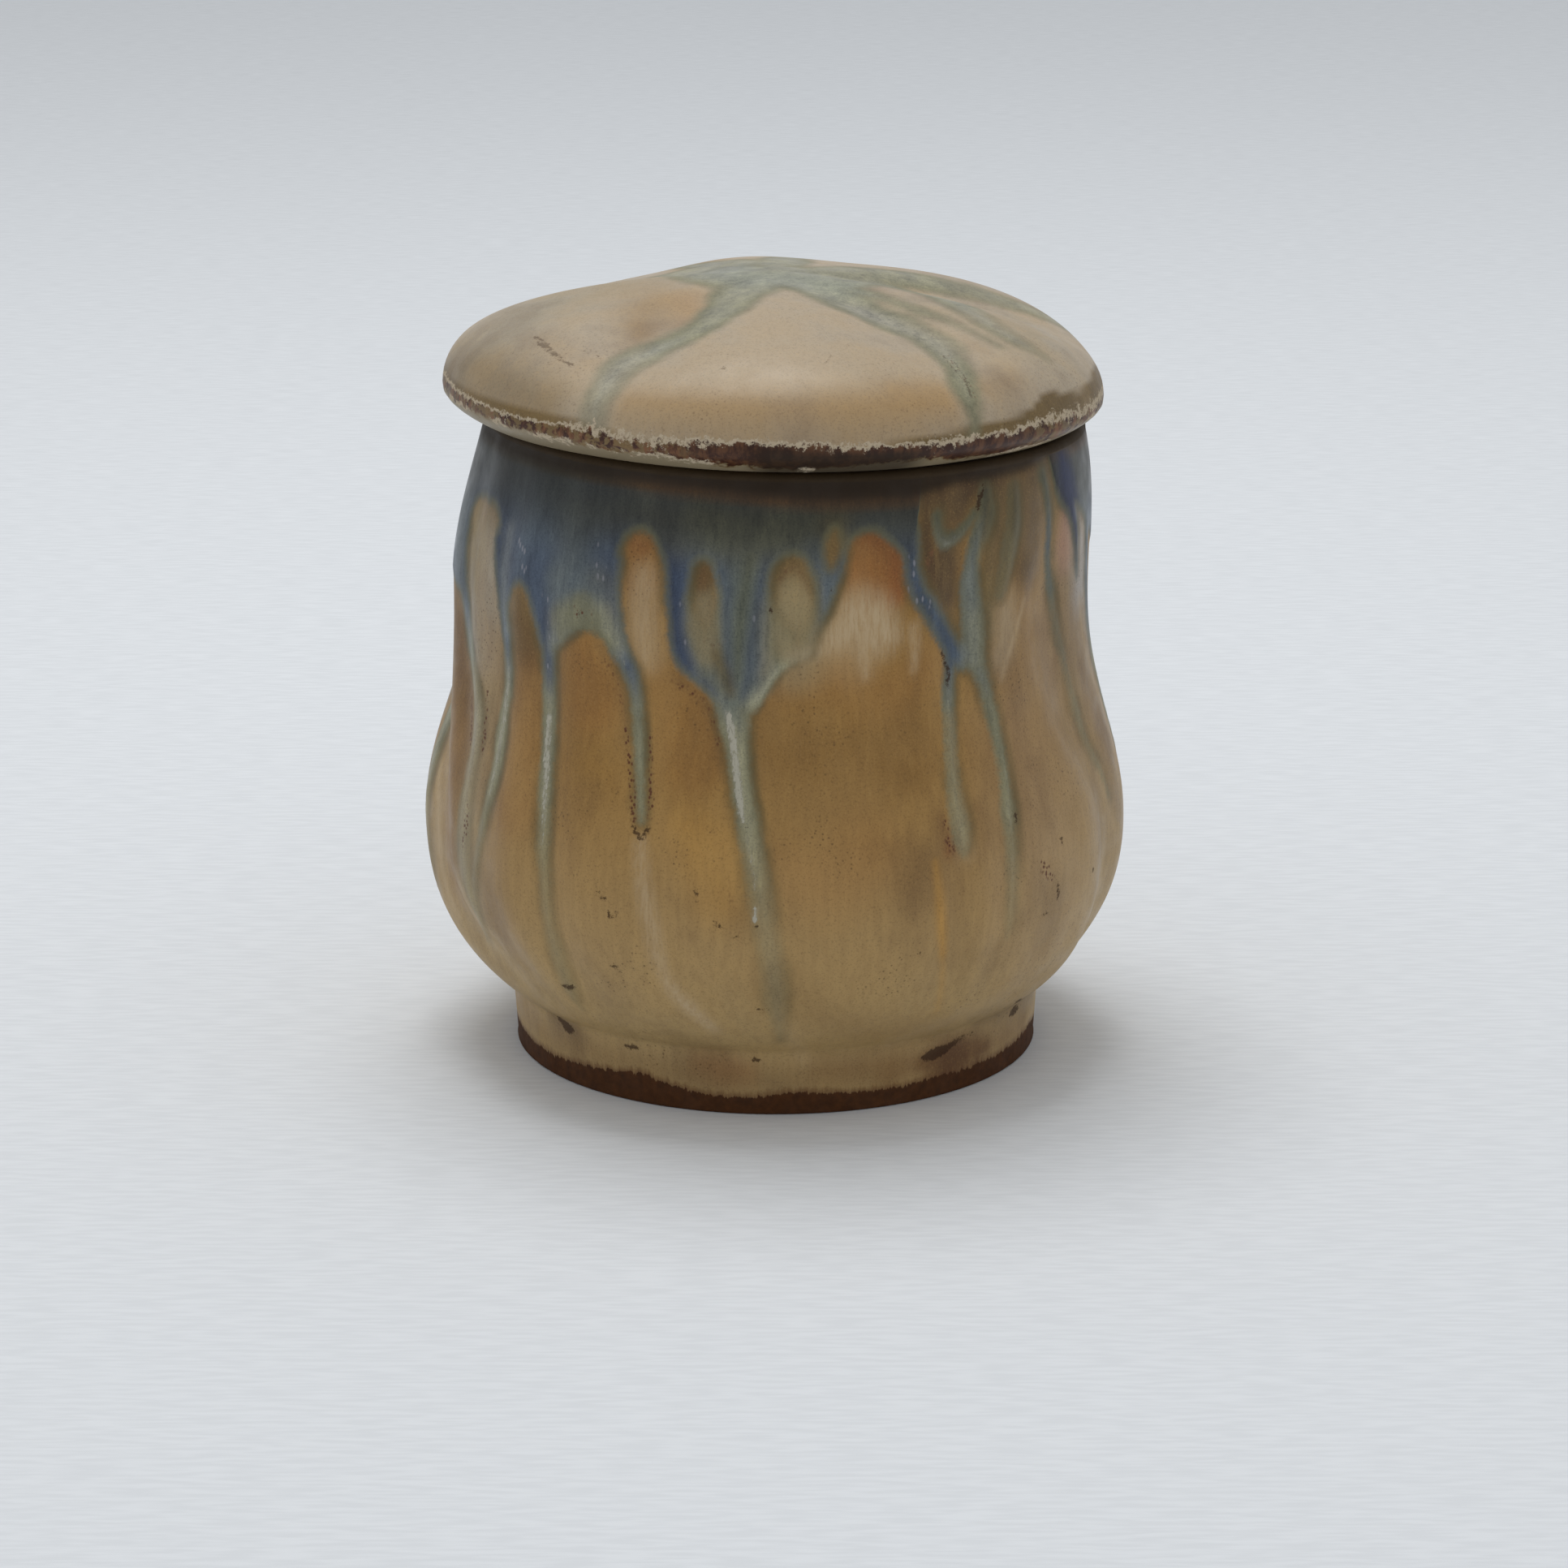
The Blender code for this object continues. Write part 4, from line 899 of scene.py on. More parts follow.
# Marks in the jar's glaze: strength, softness, path
JAR_MARKS = {
    # White crust down the middle of the runs and along a few edges
    "crust": (
        (0.8, 0.8, ((29.6, 96.3, 0.2), (31, 95.6, 0.3), (32.6, 95.7, 0.2))),
        (0.5, 1, ((-61.6, 62, 0.5), (-61.2, 58, 0.7), (-61.6, 50, 0.4))),
        (0.95, 1, ((-53.4, 72, 0.6), (-53.8, 66, 1.2), (-54.2, 58, 0.9), (-54.8, 51, 0.7))),
        (0.55, 1, ((-42.9, 76, 0.3), (-42.4, 70, 0.4))),
        (1.15, 0.8, ((-42.2, 66, 0.9), (-41.9, 61, 1), (-41.2, 56.5, 0.9), (-40.6, 51, 0.6),
         (-40.2, 46, 0.4))),
        (0.85, 0.8, ((-27.6, 78.2, 0.6), (-26.2, 76.8, 0.6))),
        (0.55, 0.8, ((-23, 69, 0.5), (-22.8, 65, 0.3))),
        (1.25, 0.6, ((-7.2, 70.5, 0.7), (-6.6, 67, 0.9), (-6, 62, 0.8), (-5.4, 57.5, 0.8),
         (-4.8, 53.5, 0.6))),
        (0.75, 0.8, ((-4.3, 70.6, 0.5), (-3.6, 71.6, 0.4))),
        (0.8, 0.8, ((-4.2, 51, 0.6), (-3.2, 46, 0.7), (-2.8, 42.5, 0.5))),
        (1.2, 0.6, ((-2.7, 39.8, 0.5), (-2.9, 37.4, 0.6))),
        (0.4, 0.6, ((-1.6, 35, 0.3), (-0.4, 29, 0.3), (0.6, 23, 0.3))),
        (0.7, 0.5, ((42.4, 61, 0.35), (42.4, 55, 0.45), (41.8, 49, 0.4), (41.5, 41, 0.4),
         (41.5, 35, 0.2))),
        (0.8, 0.8, ((30, 96.4, 0.6), (31.2, 95.9, 0.7), (33, 96.8, 0.4))),
        (0.35, 0.8, ((32, 55, 0.5), (32.2, 49, 0.7))),
        (0.6, 0.8, ((-3.4, 71, 0.3), (-1.6, 73, 0.4), (0.6, 76.6, 0.4))),
        (0.45, 0.8, ((140, 66, 0.4), (140, 54, 0.7), (140.5, 46, 0.4))),
        (0.6, 0.8, ((177, 66, 0.4), (177, 58, 0.8), (177.6, 48, 0.4))),
        (0.5, 0.8, ((218.6, 66, 0.4), (219, 56, 0.8), (220, 48, 0.4))),
        (0.5, 0.8, ((106, 62, 0.4), (108, 54, 0.8), (109, 44, 0.4))),
        (0.55, 0.8, ((-3.6, 69.4, 0.3), (-2.2, 71.6, 0.4), (-0.4, 75, 0.4), (2.2, 77.8, 0.4),
         (6, 79.2, 0.4), (8.6, 80.2, 0.3))),
    ),
    # Pale specks afloat in the blue
    "specks": (
        (1, 1, ((-53.2, 92.8, 0.9), (-50.2, 92.6, 1.3), (-49.6, 90.4, 1.7), (-48.6, 88.2, 1.3))),
        (0.9, 1, ((-46, 85.6, 1.1), (-43, 84.4, 1.2), (-42.3, 81.6, 1))),
        (0.9, 1, ((-43.2, 78.4, 1), (-43.4, 73.6, 1), (-42.5, 71.6, 1))),
        (0.8, 1, ((-33.4, 96, 0.7), (-32.6, 93, 1), (-31, 90.6, 1.5), (-30.4, 88.4, 0.9))),
        (0.75, 1, ((-18.6, 93.2, 0.7), (-16.2, 89.4, 0.9), (-15.6, 84, 1.1), (-14.8, 80.8, 0.8))),
        (0.7, 1, ((-6.4, 84.4, 0.7), (-6.6, 82, 0.9), (-5.8, 80, 0.7))),
        (0.6, 1, ((-2.3, 91.6, 0.7), (-2.6, 87.4, 0.8), (-3.3, 82.4, 0.6))),
        (1, 1, ((23.6, 94.8, 0.9), (25.2, 89.2, 1.3), (27.6, 86.6, 1))),
        (0.7, 1.5, ((134, 92, 1.5), (136, 82, 1.5))),
        (0.7, 1.5, ((174, 94, 1.5), (175, 84, 1.5))),
        (0.7, 1.5, ((213, 92, 1.5), (215, 82, 1.5))),
    ),
    # Rows of dark pores beside the runs
    "pores": (
        (1, 0.4, ((-26, 66.6, 0.27), (-25, 62.6, 0.32), (-24.2, 59, 0.37), (-23.6, 56, 0.37),
         (-23.1, 52.6, 0.42))),
        (1, 0.4, ((-20.8, 66, 0.27), (-20.6, 62, 0.32), (-20.2, 57.6, 0.42), (-20.2, 53, 0.47))),
        (0.8, 0.5, ((-67.6, 64, 0.42), (-65.4, 60.6, 0.52), (-64.2, 55, 0.32))),
        (0.8, 0.5, ((-60, 67, 0.32), (-59.4, 62, 0.42), (-59, 56.6, 0.42))),
        (0.8, 0.5, ((-61.6, 48, 0.42), (-61.4, 44, 0.52), (-61.8, 41, 0.52))),
        (0.6, 0.8, ((-17, 74.6, 0.42), (-13, 72.6, 0.52), (-10.4, 70, 0.42), (-9, 65, 0.42))),
        (0.7, 0.8, ((-36, 84.8, 0.32), (-35.2, 84, 0.62), (-32.6, 84.4, 0.42))),
        (0.4, 0.8, ((-11.6, 81.4, 0.62), (-9.4, 81.4, 0.72), (-7.6, 81.6, 0.52))),
        (0.5, 0.8, ((-30, 77, 0.52), (-27.6, 73, 0.52), (-26.6, 69, 0.42))),
        (0.6, 0.8, ((29, 52, 0.42), (29.4, 48, 0.82), (30, 46.6, 0.52))),
        (0.3, 0.8, ((0.6, 92, 0.72), (2.4, 93.4, 0.92), (5, 92, 0.72), (6.4, 90, 0.52))),
        (0.12, 0.8, ((13.4, 96.4, 0.92), (16.4, 94.6, 1.3), (19.6, 93, 1.3))),
        (0.25, 0.8, ((-27, 96, 0.92), (-24.6, 95, 1.5))),
        (0.8, 0.6, ((47.3, 41.5, 0.5), (48.2, 40.4, 0.9), (49.6, 38.7, 0.6))),
        (0.3, 0.8, ((-7, 44, 0.6), (-6.4, 40, 0.8))),
        (0.6, 0.8, ((121, 64, 0.42), (122.5, 54, 0.42))),
        (0.6, 0.8, ((195.6, 64, 0.42), (196.6, 52, 0.42))),
    ),
    # Soft pale mist in the thin glaze, and painted highlights
    "mist_and_highlight": (
        (1, 3, ((10, 81.6, 1.2), (13, 83.4, 3), (16, 84.6, 4.4), (19.4, 82.4, 3))),
        (0.75, 1.6, ((16, 80, 1.4), (16.6, 76, 0.5))),
        (0.7, 1.4, ((25.4, 83, 0.9), (25.6, 79, 0.8), (25.4, 76, 0.3))),
        (0.55, 2.5, ((-23, 91, 1.6), (-22.4, 85, 2), (-21.6, 78, 1.4))),
        (0.85, 1.2, ((-2.4, 71.6, 0.3), (-0.6, 74, 0.4), (1, 77, 0.7), (3.6, 79, 1), (7, 80, 1.2),
         (10, 81, 1.2))),
        (0.7, 1.5, ((-21.6, 49, 0.8), (-20.6, 41, 1.1), (-19.4, 35, 1.2), (-18.2, 28, 0.9),
         (-16.6, 23.6, 1), (-13.6, 20, 1), (-10.6, 16.6, 0.6))),
        (1, 1.3, ((-17.8, 26, 0.6), (-15, 21.6, 1.1), (-11.4, 17.2, 0.8))),
        # Painted highlight along the edge of the far left ridge
        (0.9, 1, ((-90, 54, 0.9), (-86, 50, 1), (-82, 45, 1), (-79.5, 41, 1), (-79, 35, 0.9),
         (-77, 30, 0.6), (-73, 25, 0.5))),
        (0.3, 2, ((32, 50, 1), (32.4, 46, 1.6))),
        (0.45, 2.5, ((45.6, 86, 1.4), (45.4, 81, 2), (43.6, 76, 1.2))),
        (0.65, 0.9, ((50.5, 84, 0.4), (48, 79, 0.5), (46, 76, 0.5), (44, 72, 0.2))),
        (0.5, 1, ((66.4, 67, 0.5), (70, 57, 0.7), (73.6, 48.6, 0.8), (76.6, 42, 0.7), (79, 37, 0.4))),
        (0.6, 1.2, ((72.6, 80, 0.5), (75, 73, 0.7), (79, 66, 0.7), (84, 59, 0.5))),
        (0.4, 2.5, ((44, 18, 1), (34, 14.5, 1), (24, 12, 0.6))),
        (0.3, 2, ((1, 20, 0.8), (3, 15, 1.4), (6, 10, 1))),
        (0.6, 2, ((185, 86, 3), (186, 79, 2))),
        (0.5, 2, ((146, 86, 3), (148, 79, 2))),
        (0.4, 1.5, ((157, 56, 0.6), (158, 40, 0.9), (159, 26, 0.8))),
        (0.4, 1.5, ((198, 42, 0.6), (198, 30, 0.9), (200, 18, 0.8))),
    ),
    # Iron that shows through
    "iron": (
        (0.5, 2, ((27.8, 94.6, 0.8), (27.8, 92.6, 0.8))),
        (0.35, 2, ((-13, 92.6, 0.8), (-12.6, 91, 0.6))),
    ),
    # Runs so thin that they hardly cover
    "faint": (
        (0.8, 3, ((-66, 68, 3), (-63, 60, 3), (-62, 50, 3), (-62.6, 38, 3))),
        (0.6, 2, ((32.6, 67, 1.5), (32, 56, 2), (32, 47, 2))),
        (0.7, 2, ((46.6, 103, 2), (45, 93, 2), (43.5, 86, 2))),
        (0.5, 1.5, ((40.2, 102.6, 1.2), (39.4, 96, 1.2), (39, 92.5, 1))),
        (0.7, 3, ((62, 80, 2), (65, 70, 2), (68.5, 61, 2), (72, 52, 2))),
        (1, 2.5, ((3.4, 90, 2.6), (3.8, 86, 3.8), (4.6, 82.4, 4))),
        (0.9, 2, ((-12, 88, 1.8), (-11.6, 84, 2.6), (-10.6, 79.6, 2.2))),
        (0.6, 2, ((9.3, 98, 1.6), (9.4, 94, 1.2))),
    ),
}

# Dark stains, as paths of azimuth, height and half width
JAR_STAINS = (
    ((-23.1, 51.9, 0.35), (-22.6, 50.6, 0.45), (-21.7, 49.8, 0.6), (-20.9, 50.6, 0.45),
     (-20.2, 51.7, 0.35)),
    ((-54.6, 11.2, 0.15), (-52.4, 10.6, 0.8), (-50.2, 9.8, 1.2), (-48.2, 9.4, 0.45)),
    ((-34, 9.7, 0.3), (-32.6, 9.6, 0.45), (-31, 9.7, 0.6), (-29.4, 9.8, 0.3)),
    ((-5.2, 10.3, 0.35), (-4.2, 9.8, 0.6), (-3.2, 9.5, 0.3)),
    ((33, 7.6, 0.55), (35, 7.6, 1.1), (37, 7.9, 1.2), (39.4, 8.2, 0.8), (42, 8.9, 0.65),
     (45.6, 9.3, 0.45), (48.6, 9.2, 0.25)),
    ((61.4, 9.6, 0.6), (63.4, 9.9, 0.95), (65.6, 10, 0.5)),
    ((55, 14.4, 0.3), (58, 13.2, 0.6), (61, 12.4, 0.6)),
    ((-39.6, 21.7, 0.4), (-38, 21.3, 0.6), (-36.8, 21.9, 0.45)),
    ((-2.8, 21.5, 0.3), (-1.8, 21.2, 0.4), (-0.8, 21.3, 0.3)),
    ((31.6, 78.4, 0.35), (32.2, 76.4, 0.45), (33.2, 74.4, 0.5), (32.6, 72.4, 0.4)),
    ((39, 104.2, 0.45), (38.2, 102.5, 0.5), (37.6, 100.6, 0.45)),
    ((-35.3, 83.8, 0.4), (-34.9, 83.7, 0.4)),
    ((9.9, 90.3, 0.42), (9.9, 90.2, 0.42)),
    ((-0.1, 87.3, 0.35), (-0.4, 86.6, 0.4)),
    ((-10.6, 81.3, 0.3), (-9.2, 81.5, 0.35), (-8.2, 81.4, 0.3)),
    ((-49.5, 80.6, 0.35), (-49.5, 80.4, 0.35)),
    ((-4.1, 52.1, 0.38), (-4, 51.9, 0.38)),
    ((-2.7, 36.8, 0.35), (-2.6, 36.4, 0.35)),
    ((52.6, 44.4, 0.55), (53, 44, 0.55)),
    ((48.7, 32.8, 0.5), (48.9, 32.5, 0.5)),
    ((51.4, 37.3, 0.36), (51.7, 35.8, 0.42), (51.5, 34.4, 0.36)),
    ((63, 36.7, 0.48), (63.2, 36.3, 0.48)),
    ((43, 50.4, 0.3), (42.9, 49, 0.34)),
    ((23.6, 30.6, 0.3), (23.8, 30, 0.3)),
    ((-27.6, 28.5, 0.34), (-26.9, 28.2, 0.36), (-26.1, 27.9, 0.52)),
    ((-28.5, 41, 0.44), (-28, 40.3, 0.4), (-27.6, 40, 0.36), (-27.2, 39.5, 0.5)),
    ((-26.5, 37.6, 0.3), (-26.1, 36.7, 0.42), (-25.6, 36.8, 0.26), (-25.1, 37.1, 0.38),
     (-24.8, 37.9, 0.26)),
    ((-11.9, 42.3, 0.42), (-11.9, 40.9, 0.36)),
    ((-9, 37.6, 0.34), (-8.5, 36.8, 0.4), (-7.8, 36.2, 0.52)),
    ((-6.2, 35.3, 0.38), (-5.7, 35, 0.44)),
)

# Upper edge of the bare clay round the foot
FOOT_EDGE_LINE = (
    (-90, 4.8), (-80, 4.4), (-70, 3.8), (-60, 3.5), (-50, 3.8), (-40, 4.4), (-32, 5.1), (-28, 5.2),
    (-25, 4.4), (-20, 3.7), (-13, 3), (-5, 3), (0, 3.7), (5, 3.8), (10, 3.7), (15, 3.4), (20, 3.2),
    (27, 3.1), (35, 3.5), (45, 3.5), (55, 3.6), (65, 3.8), (75, 4.6), (95, 3.4), (120, 4.4), (150, 3),
    (180, 4.6), (205, 3.2), (235, 4.2), (255, 3.4),
)


def mesh_piece(name, rings, skins):
    """A closed mesh over the rings, from the lowest inner one round to the last, and its fields.

    rings is an array of (ring, column, xyz). Each field has a value for each point of it.
    """
    count, across = rings.shape[:2]
    points = rings.reshape(-1, 3)
    hubs = [rings[0].mean(axis=0), rings[-1].mean(axis=0)]
    start = np.arange(count - 1)[:, None] * across
    here = np.arange(across)[None, :]
    after = (here + 1) % across
    quads = np.stack([start + here, start + after, start + across + after, start + across + here], axis=-1)
    faces = quads.reshape(-1, 4).tolist()
    last = (count - 1) * across
    for i in range(across):
        k = (i + 1) % across
        faces.append((k, i, count * across))
        faces.append((last + i, last + k, count * across + 1))
    mesh = bpy.data.meshes.new(name)
    mesh.from_pydata(np.vstack([points, hubs]).tolist(), [], faces)
    mesh.shade_smooth()
    for field, values in skins.items():
        colour = values.ndim == 3
        flat = values.reshape(count * across, -1)
        ends = [values[i].reshape(across, -1).mean(axis=0) for i in (0, -1)]
        flat = np.vstack([flat, ends])
        if colour:
            flat = np.hstack([flat, np.ones((len(flat), 1))])
        layer = mesh.attributes.new(field, "FLOAT_COLOR" if colour else "FLOAT", "POINT")
        layer.data.foreach_set("color" if colour else "value", flat.astype(np.float32).ravel())
    piece = bpy.data.objects.new(name, mesh)
    bpy.context.scene.collection.objects.link(piece)
    return piece


# The fields that the glaze's nodes read, and the value of each where the glaze is plain
PLAIN = {
    "margin": -FAR, "crust": 0.0, "specks": 0.0, "pores": 0.0, "mist_and_highlight": 0.0, "iron": 0.0, "faint": 0.0,
    "stain": -FAR, "dark": 0.0, "shade": 0.0, "bare": -FAR, "whole": 0.0, "over_fringe": FAR,
    "over_iron": FAR,
}


def full_fields(skin, before, after, inner_colour):
    """The skin's fields, with plain glaze on the rings before and after it."""
    fields = {}
    across = skin.azimuth.shape[1]
    marks = {**skin.marks, "margin": skin.margin}
    for field, plain in PLAIN.items():
        middle = marks.get(field, np.full(skin.azimuth.shape, plain))
        ends = [np.full((count, across), plain) for count in (before, after)]
        fields[field] = np.vstack([ends[0], middle, ends[1]])
    for field in ("ground", "run"):
        ends = [np.broadcast_to(linear(inner_colour), (count, across, 3)) for count in (before, after)]
        fields[field] = np.concatenate([ends[0], skin.tints[field], ends[1]])
    return fields


def build_jar():
    azimuth = columns()[None, :]
    under = jar_underside()
    outside = jar_outside()
    inside = jar_inside()
    outline = np.vstack([under, outside, inside])
    radius, height = outline[:, :1], outline[:, 1:]
    skin = paint_jar(azimuth, outside[:, 1:] * MM)
    fields = full_fields(skin, len(under), len(inside), JAR_INSIDE)
    fields["bare"][: len(under)] = FAR
    # Painted shadow of the lid on the rim's rounded top
    fields["dark"][len(under) + len(outside) :][:SHADED_RIM_RINGS] = 1.0
    pressed = np.zeros((len(outline), COLUMNS))
    # The thin glaze lies lower than the runs, which are round at their edges
    sunk = RUN_THICKNESS * (1 - smooth(skin.margin / RUN_ROUNDING + 0.3))
    pressed[len(under) : len(under) + len(outside)] = fold_depth(azimuth, outside[:, 1:]) + sunk
    rings = around(azimuth, radius - pressed, height, jar_centre(height))
    return mesh_piece("jar_glazed", rings, fields)


# The lid's runs: azimuth, reach from the middle, half width in millimetres
LID_STREAMS = (
    ((-140, 17, 8), (-90, 8, 9), (0, 2, 9.5), (95, 12, 8)),
    ((-22, 8, 6), (-21, 14, 5), (-20.5, 20, 4.3), (-20.5, 25, 4), (-21, 30, 3.5), (-24.5, 35, 3.5),
     (-28.5, 39.5, 3.3), (-31.5, 43.5, 3.1), (-32.2, 47, 2.9), (-32, 50.5, 2.7), (-32, 53, 2.1),
     (-31.8, 54.5, 1)),
    ((36, 8, 6), (36, 16, 5.2), (37, 21, 4.6), (38.5, 25, 3.8), (41, 30, 3.5), (43, 35, 3.1),
     (42.6, 40, 3), (41, 43, 2.8), (39.2, 46.5, 2.4), (37.2, 50, 1.9), (36.2, 52.4, 1.4),
     (35.8, 54, 0.8)),
    ((51, 12, 2.4), (53, 20, 1.6), (54, 25, 1), (54.5, 32, 0.7), (54.8, 38, 0.6), (55, 44, 0.3)),
    ((98, 12, 5), (86, 22, 4.4), (76, 28, 3.8), (70, 32, 3.2), (65, 36.5, 2.8), (62, 40.5, 2.3),
     (61.5, 44.5, 1.7), (62, 48, 0.6)),
    ((112, 14, 5), (110, 26, 4), (107, 38, 3.4), (106, 48, 2.6), (106, 54, 1.2)),
    ((176, 10, 5), (174, 24, 3.6), (176, 36, 3), (177, 45, 2), (177, 51, 0.8)),
    ((-150, 14, 5), (-150, 24, 3), (-151, 32, 1.6), (-152, 38, 0.5)),
    ((-122, 14, 6), (-120, 26, 4.4), (-118, 38, 3.8), (-118, 47, 3.2), (-118, 54, 1.4)),
)
# How softly the jar's runs and the lid's meet
JAR_WEB = 0.8
LID_WEB = 1.2

# Tints of the lid's thin glaze: colour, strength, softness, path
LID_GROUND = (
    (GREY_SAND, 0.85, 8, ((-84, 26, 9), (-76, 38, 9), (-70, 46, 7))),
    (WARM_SAND, 0.6, 5, ((-44, 22, 4), (-36, 24, 4), (-31, 27, 2))),
    (ORANGE, 0.22, 4, ((-44, 20, 2), (-36, 23, 2), (-30, 27, 1.5))),
    (TAUPE, 0.6, 5, ((-48, 28, 3), (-40, 33, 4), (-36, 37, 3))),
    (TAUPE, 0.3, 8, ((-66, 22, 5), (-54, 24, 5), (-42, 24, 4))),
    (TAUPE, 0.35, 4, ((-56, 45, 2), (-40, 46, 2))),
    (TAUPE, 0.55, 2, ((-42, 33, 1.4), (-38, 35, 1.4))),
    (ORANGE, 0.08, 3, ((58, 18, 2), (64, 22, 2.5), (66, 28, 2.6))),
    (GREY_SAND, 0.5, 4, ((54, 30, 2), (60, 26, 3), (64, 32, 3))),
    (GREY_SAND, 0.8, 6, ((64, 46, 4), (74, 42, 6), (88, 40, 6))),
    (OLIVE, 0.62, 5, ((-82, 54.2, 2), (-74, 53.6, 2.6), (-62, 53, 3.4), (-50, 53.4, 3), (-42, 54, 2))),
    # Partly warm brown glaze and partly painted shade where the lid's front turns down
    (OCHRE, 0.55, 3, ((-26, 52.4, 1.4), (-14, 52.4, 2), (0, 52.4, 2.4), (16, 52.4, 2.6),
     (31, 52.2, 2.2))),
    (OCHRE, 0.35, 3, ((22, 49.6, 2), (31, 50, 2))),
    (TAUPE, 0.6, 4, ((41.5, 50.6, 1.8), (45, 50.6, 2.4), (49, 50.2, 1.6))),
    (WARM_SAND, 0.5, 6, ((140, 36, 8), (160, 44, 8))),
    (GREY_SAND, 0.5, 6, ((200, 40, 8), (225, 46, 8))),
    (TAUPE, 0.5, 4, ((205, 30, 4), (212, 26, 4))),
    (OCHRE, 0.45, 4, ((120, 52, 2.4), (150, 52, 2.4), (190, 52.4, 2.4), (220, 52, 2.4))),
)

# Tints of its runs
LID_RUN = (
    ((162, 162, 150), 0.9, 5, ((-29, 40, 2), (-32, 46, 3), (-32, 54, 3))),
    (LID_SLATE, 0.7, 5, ((-120, 8, 5), (20, 6, 6), (60, 16, 4))),
    (SAGE, 0.35, 3, ((-30, 22, 1.6), (-27, 28, 1.6), (-27, 34, 1.4))),
    (SAGE, 0.35, 3, ((36, 24, 2), (40, 31, 2), (40, 38, 1.5), (38, 44, 1.5))),
    ((152, 150, 136), 0.8, 4, ((66, 36, 3), (62, 42, 3), (62, 48, 2))),
    ((162, 158, 144), 0.8, 4, ((36, 24, 3), (41, 32, 3), (43, 38, 2.5), (41, 42, 2))),
)

# Marks in its glaze: strength, softness, path
LID_MARKS = {
    "pores": (
        (0.5, 1, ((41.5, 42, 0.42), (39.4, 46, 0.52), (38.4, 50, 0.52), (37.6, 52, 0.42))),
    ),
    "mist_and_highlight": (
        (0.4, 3, ((48, 32, 1), (49, 38, 1.6), (50, 44, 2), (51, 48, 2))),
        (0.3, 3, ((-29, 40, 1), (-31.6, 45, 1.5), (-33, 50, 1))),
        (0.3, 4, ((58, 30, 1.5), (58, 38, 2), (58, 46, 2))),
        # Painted highlight: a soft pale line where the lid's front shoulder catches the light
        (0.35, 3, ((-8, 48.4, 0.8), (4, 48.2, 1), (14, 48, 0.8))),
    ),
    "crust": (
        (0.8, 0.6, ((51.6, 53.9, 0.1), (51.8, 53.6, 0.1))),
    ),
    "faint": (
        (0.3, 5, ((-140, 17, 8), (-90, 8, 9), (0, 2, 9.5), (95, 12, 8))),
        (0.5, 3, ((44, 31, 2), (45, 41, 3))),
        (0.45, 3, ((54, 20, 2), (55, 44, 2))),
        (0.6, 3, ((66, 36, 4), (62, 48, 3))),
        (0.6, 4, ((-31, 42, 3), (-32, 54, 4))),
        (0.45, 4, ((174, 24, 4), (177, 51, 4))),
        (0.45, 4, ((-118, 34, 5), (-118, 54, 4))),
        (0.45, 4, ((108, 34, 5), (106, 54, 4))),
    ),
}

# Its dark stains, as paths
LID_STAINS = (
    ((-60, 44.6, 0.32), (-56.5, 45.3, 0.55), (-54.5, 45.7, 0.7), (-50.4, 46.4, 0.62), (-47.6, 47, 0.48),
     (-43.8, 47.6, 0.46), (-42, 47.9, 0.3)),
    ((-45.2, 43.4, 0.3), (-43.6, 44, 0.34)),
    ((-40, 44.2, 0.32), (-38, 44.8, 0.38)),
    ((-10, 45.4, 0.42), (-9.9, 45.7, 0.42)),
    ((10.2, 44.6, 0.15), (12.2, 42.4, 0.2)),
    ((40.4, 41.6, 0.2), (39.4, 44, 0.25), (38.6, 46.8, 0.28), (38.6, 48.6, 0.28), (37.2, 51.6, 0.3)),
    ((41.2, 43, 0.1), (40, 46, 0.18), (38.8, 49.6, 0.2)),
)

# The crusty fringe along the top of the lid's iron band: azimuth, height over the seat, half width
FRINGE = (
    (-90, 6.2, 0.4), (-80, 6.2, 0.4), (-75, 6, 0.4), (-67, 5.7, 0.4), (-60, 5.6, 0.35), (-52, 5.3, 0.3),
    (-45, 5.2, 0.25), (-40, 5.4, 0.3), (-35, 5.5, 0.6), (-32, 5.7, 0.8), (-29, 5.3, 0.8), (-25, 5.1, 0.8),
    (-21, 5, 0.9), (-18, 5.3, 0.9), (-14, 5.3, 0.8), (-10, 5.6, 0.5), (-4, 5.8, 0.4), (0, 5.5, 0.4),
    (5, 5.3, 0.5), (10, 5.1, 0.6), (15, 4.9, 0.5), (22, 4.9, 0.45), (27, 4.7, 0.7), (31, 4.8, 0.8),
    (36, 4.9, 0.5), (44, 5, 0.5), (49, 5.4, 0.6), (54, 5.5, 0.7), (58, 5.6, 0.8), (64, 5.2, 0.9),
    (70, 5.1, 0.7), (80, 5.6, 0.6), (90, 5.9, 0.6), (110, 5.6, 0.8), (130, 5, 0.5), (150, 5.6, 0.9),
    (170, 5.2, 0.6), (190, 5.8, 0.8), (210, 5, 0.6), (230, 5.6, 0.9), (250, 6, 0.6),
)
FRINGE_SLOPE = 1.5

# Height over the seat of the lower edge of the iron band
IRON_EDGE = (
    (-90, 4.2), (-75, 4), (-65, 3.8), (-50, 3.5), (-40, 2.9), (-34, 2.6), (-25, 2.5), (-20, 2.4),
    (-15, 2), (-11, 1.7), (-4, 1.4), (0, 0.9), (5, 0.8), (8, 1), (11, 1.4), (16, 1.8), (22, 2), (26, 2.3),
    (30, 1.8), (34, 1.2), (40, 1), (46, 1), (52, 1.3), (60, 2), (70, 3.2), (90, 4), (120, 2.4),
    (150, 1.2), (180, 2.6), (210, 1.6), (240, 3.4),
)

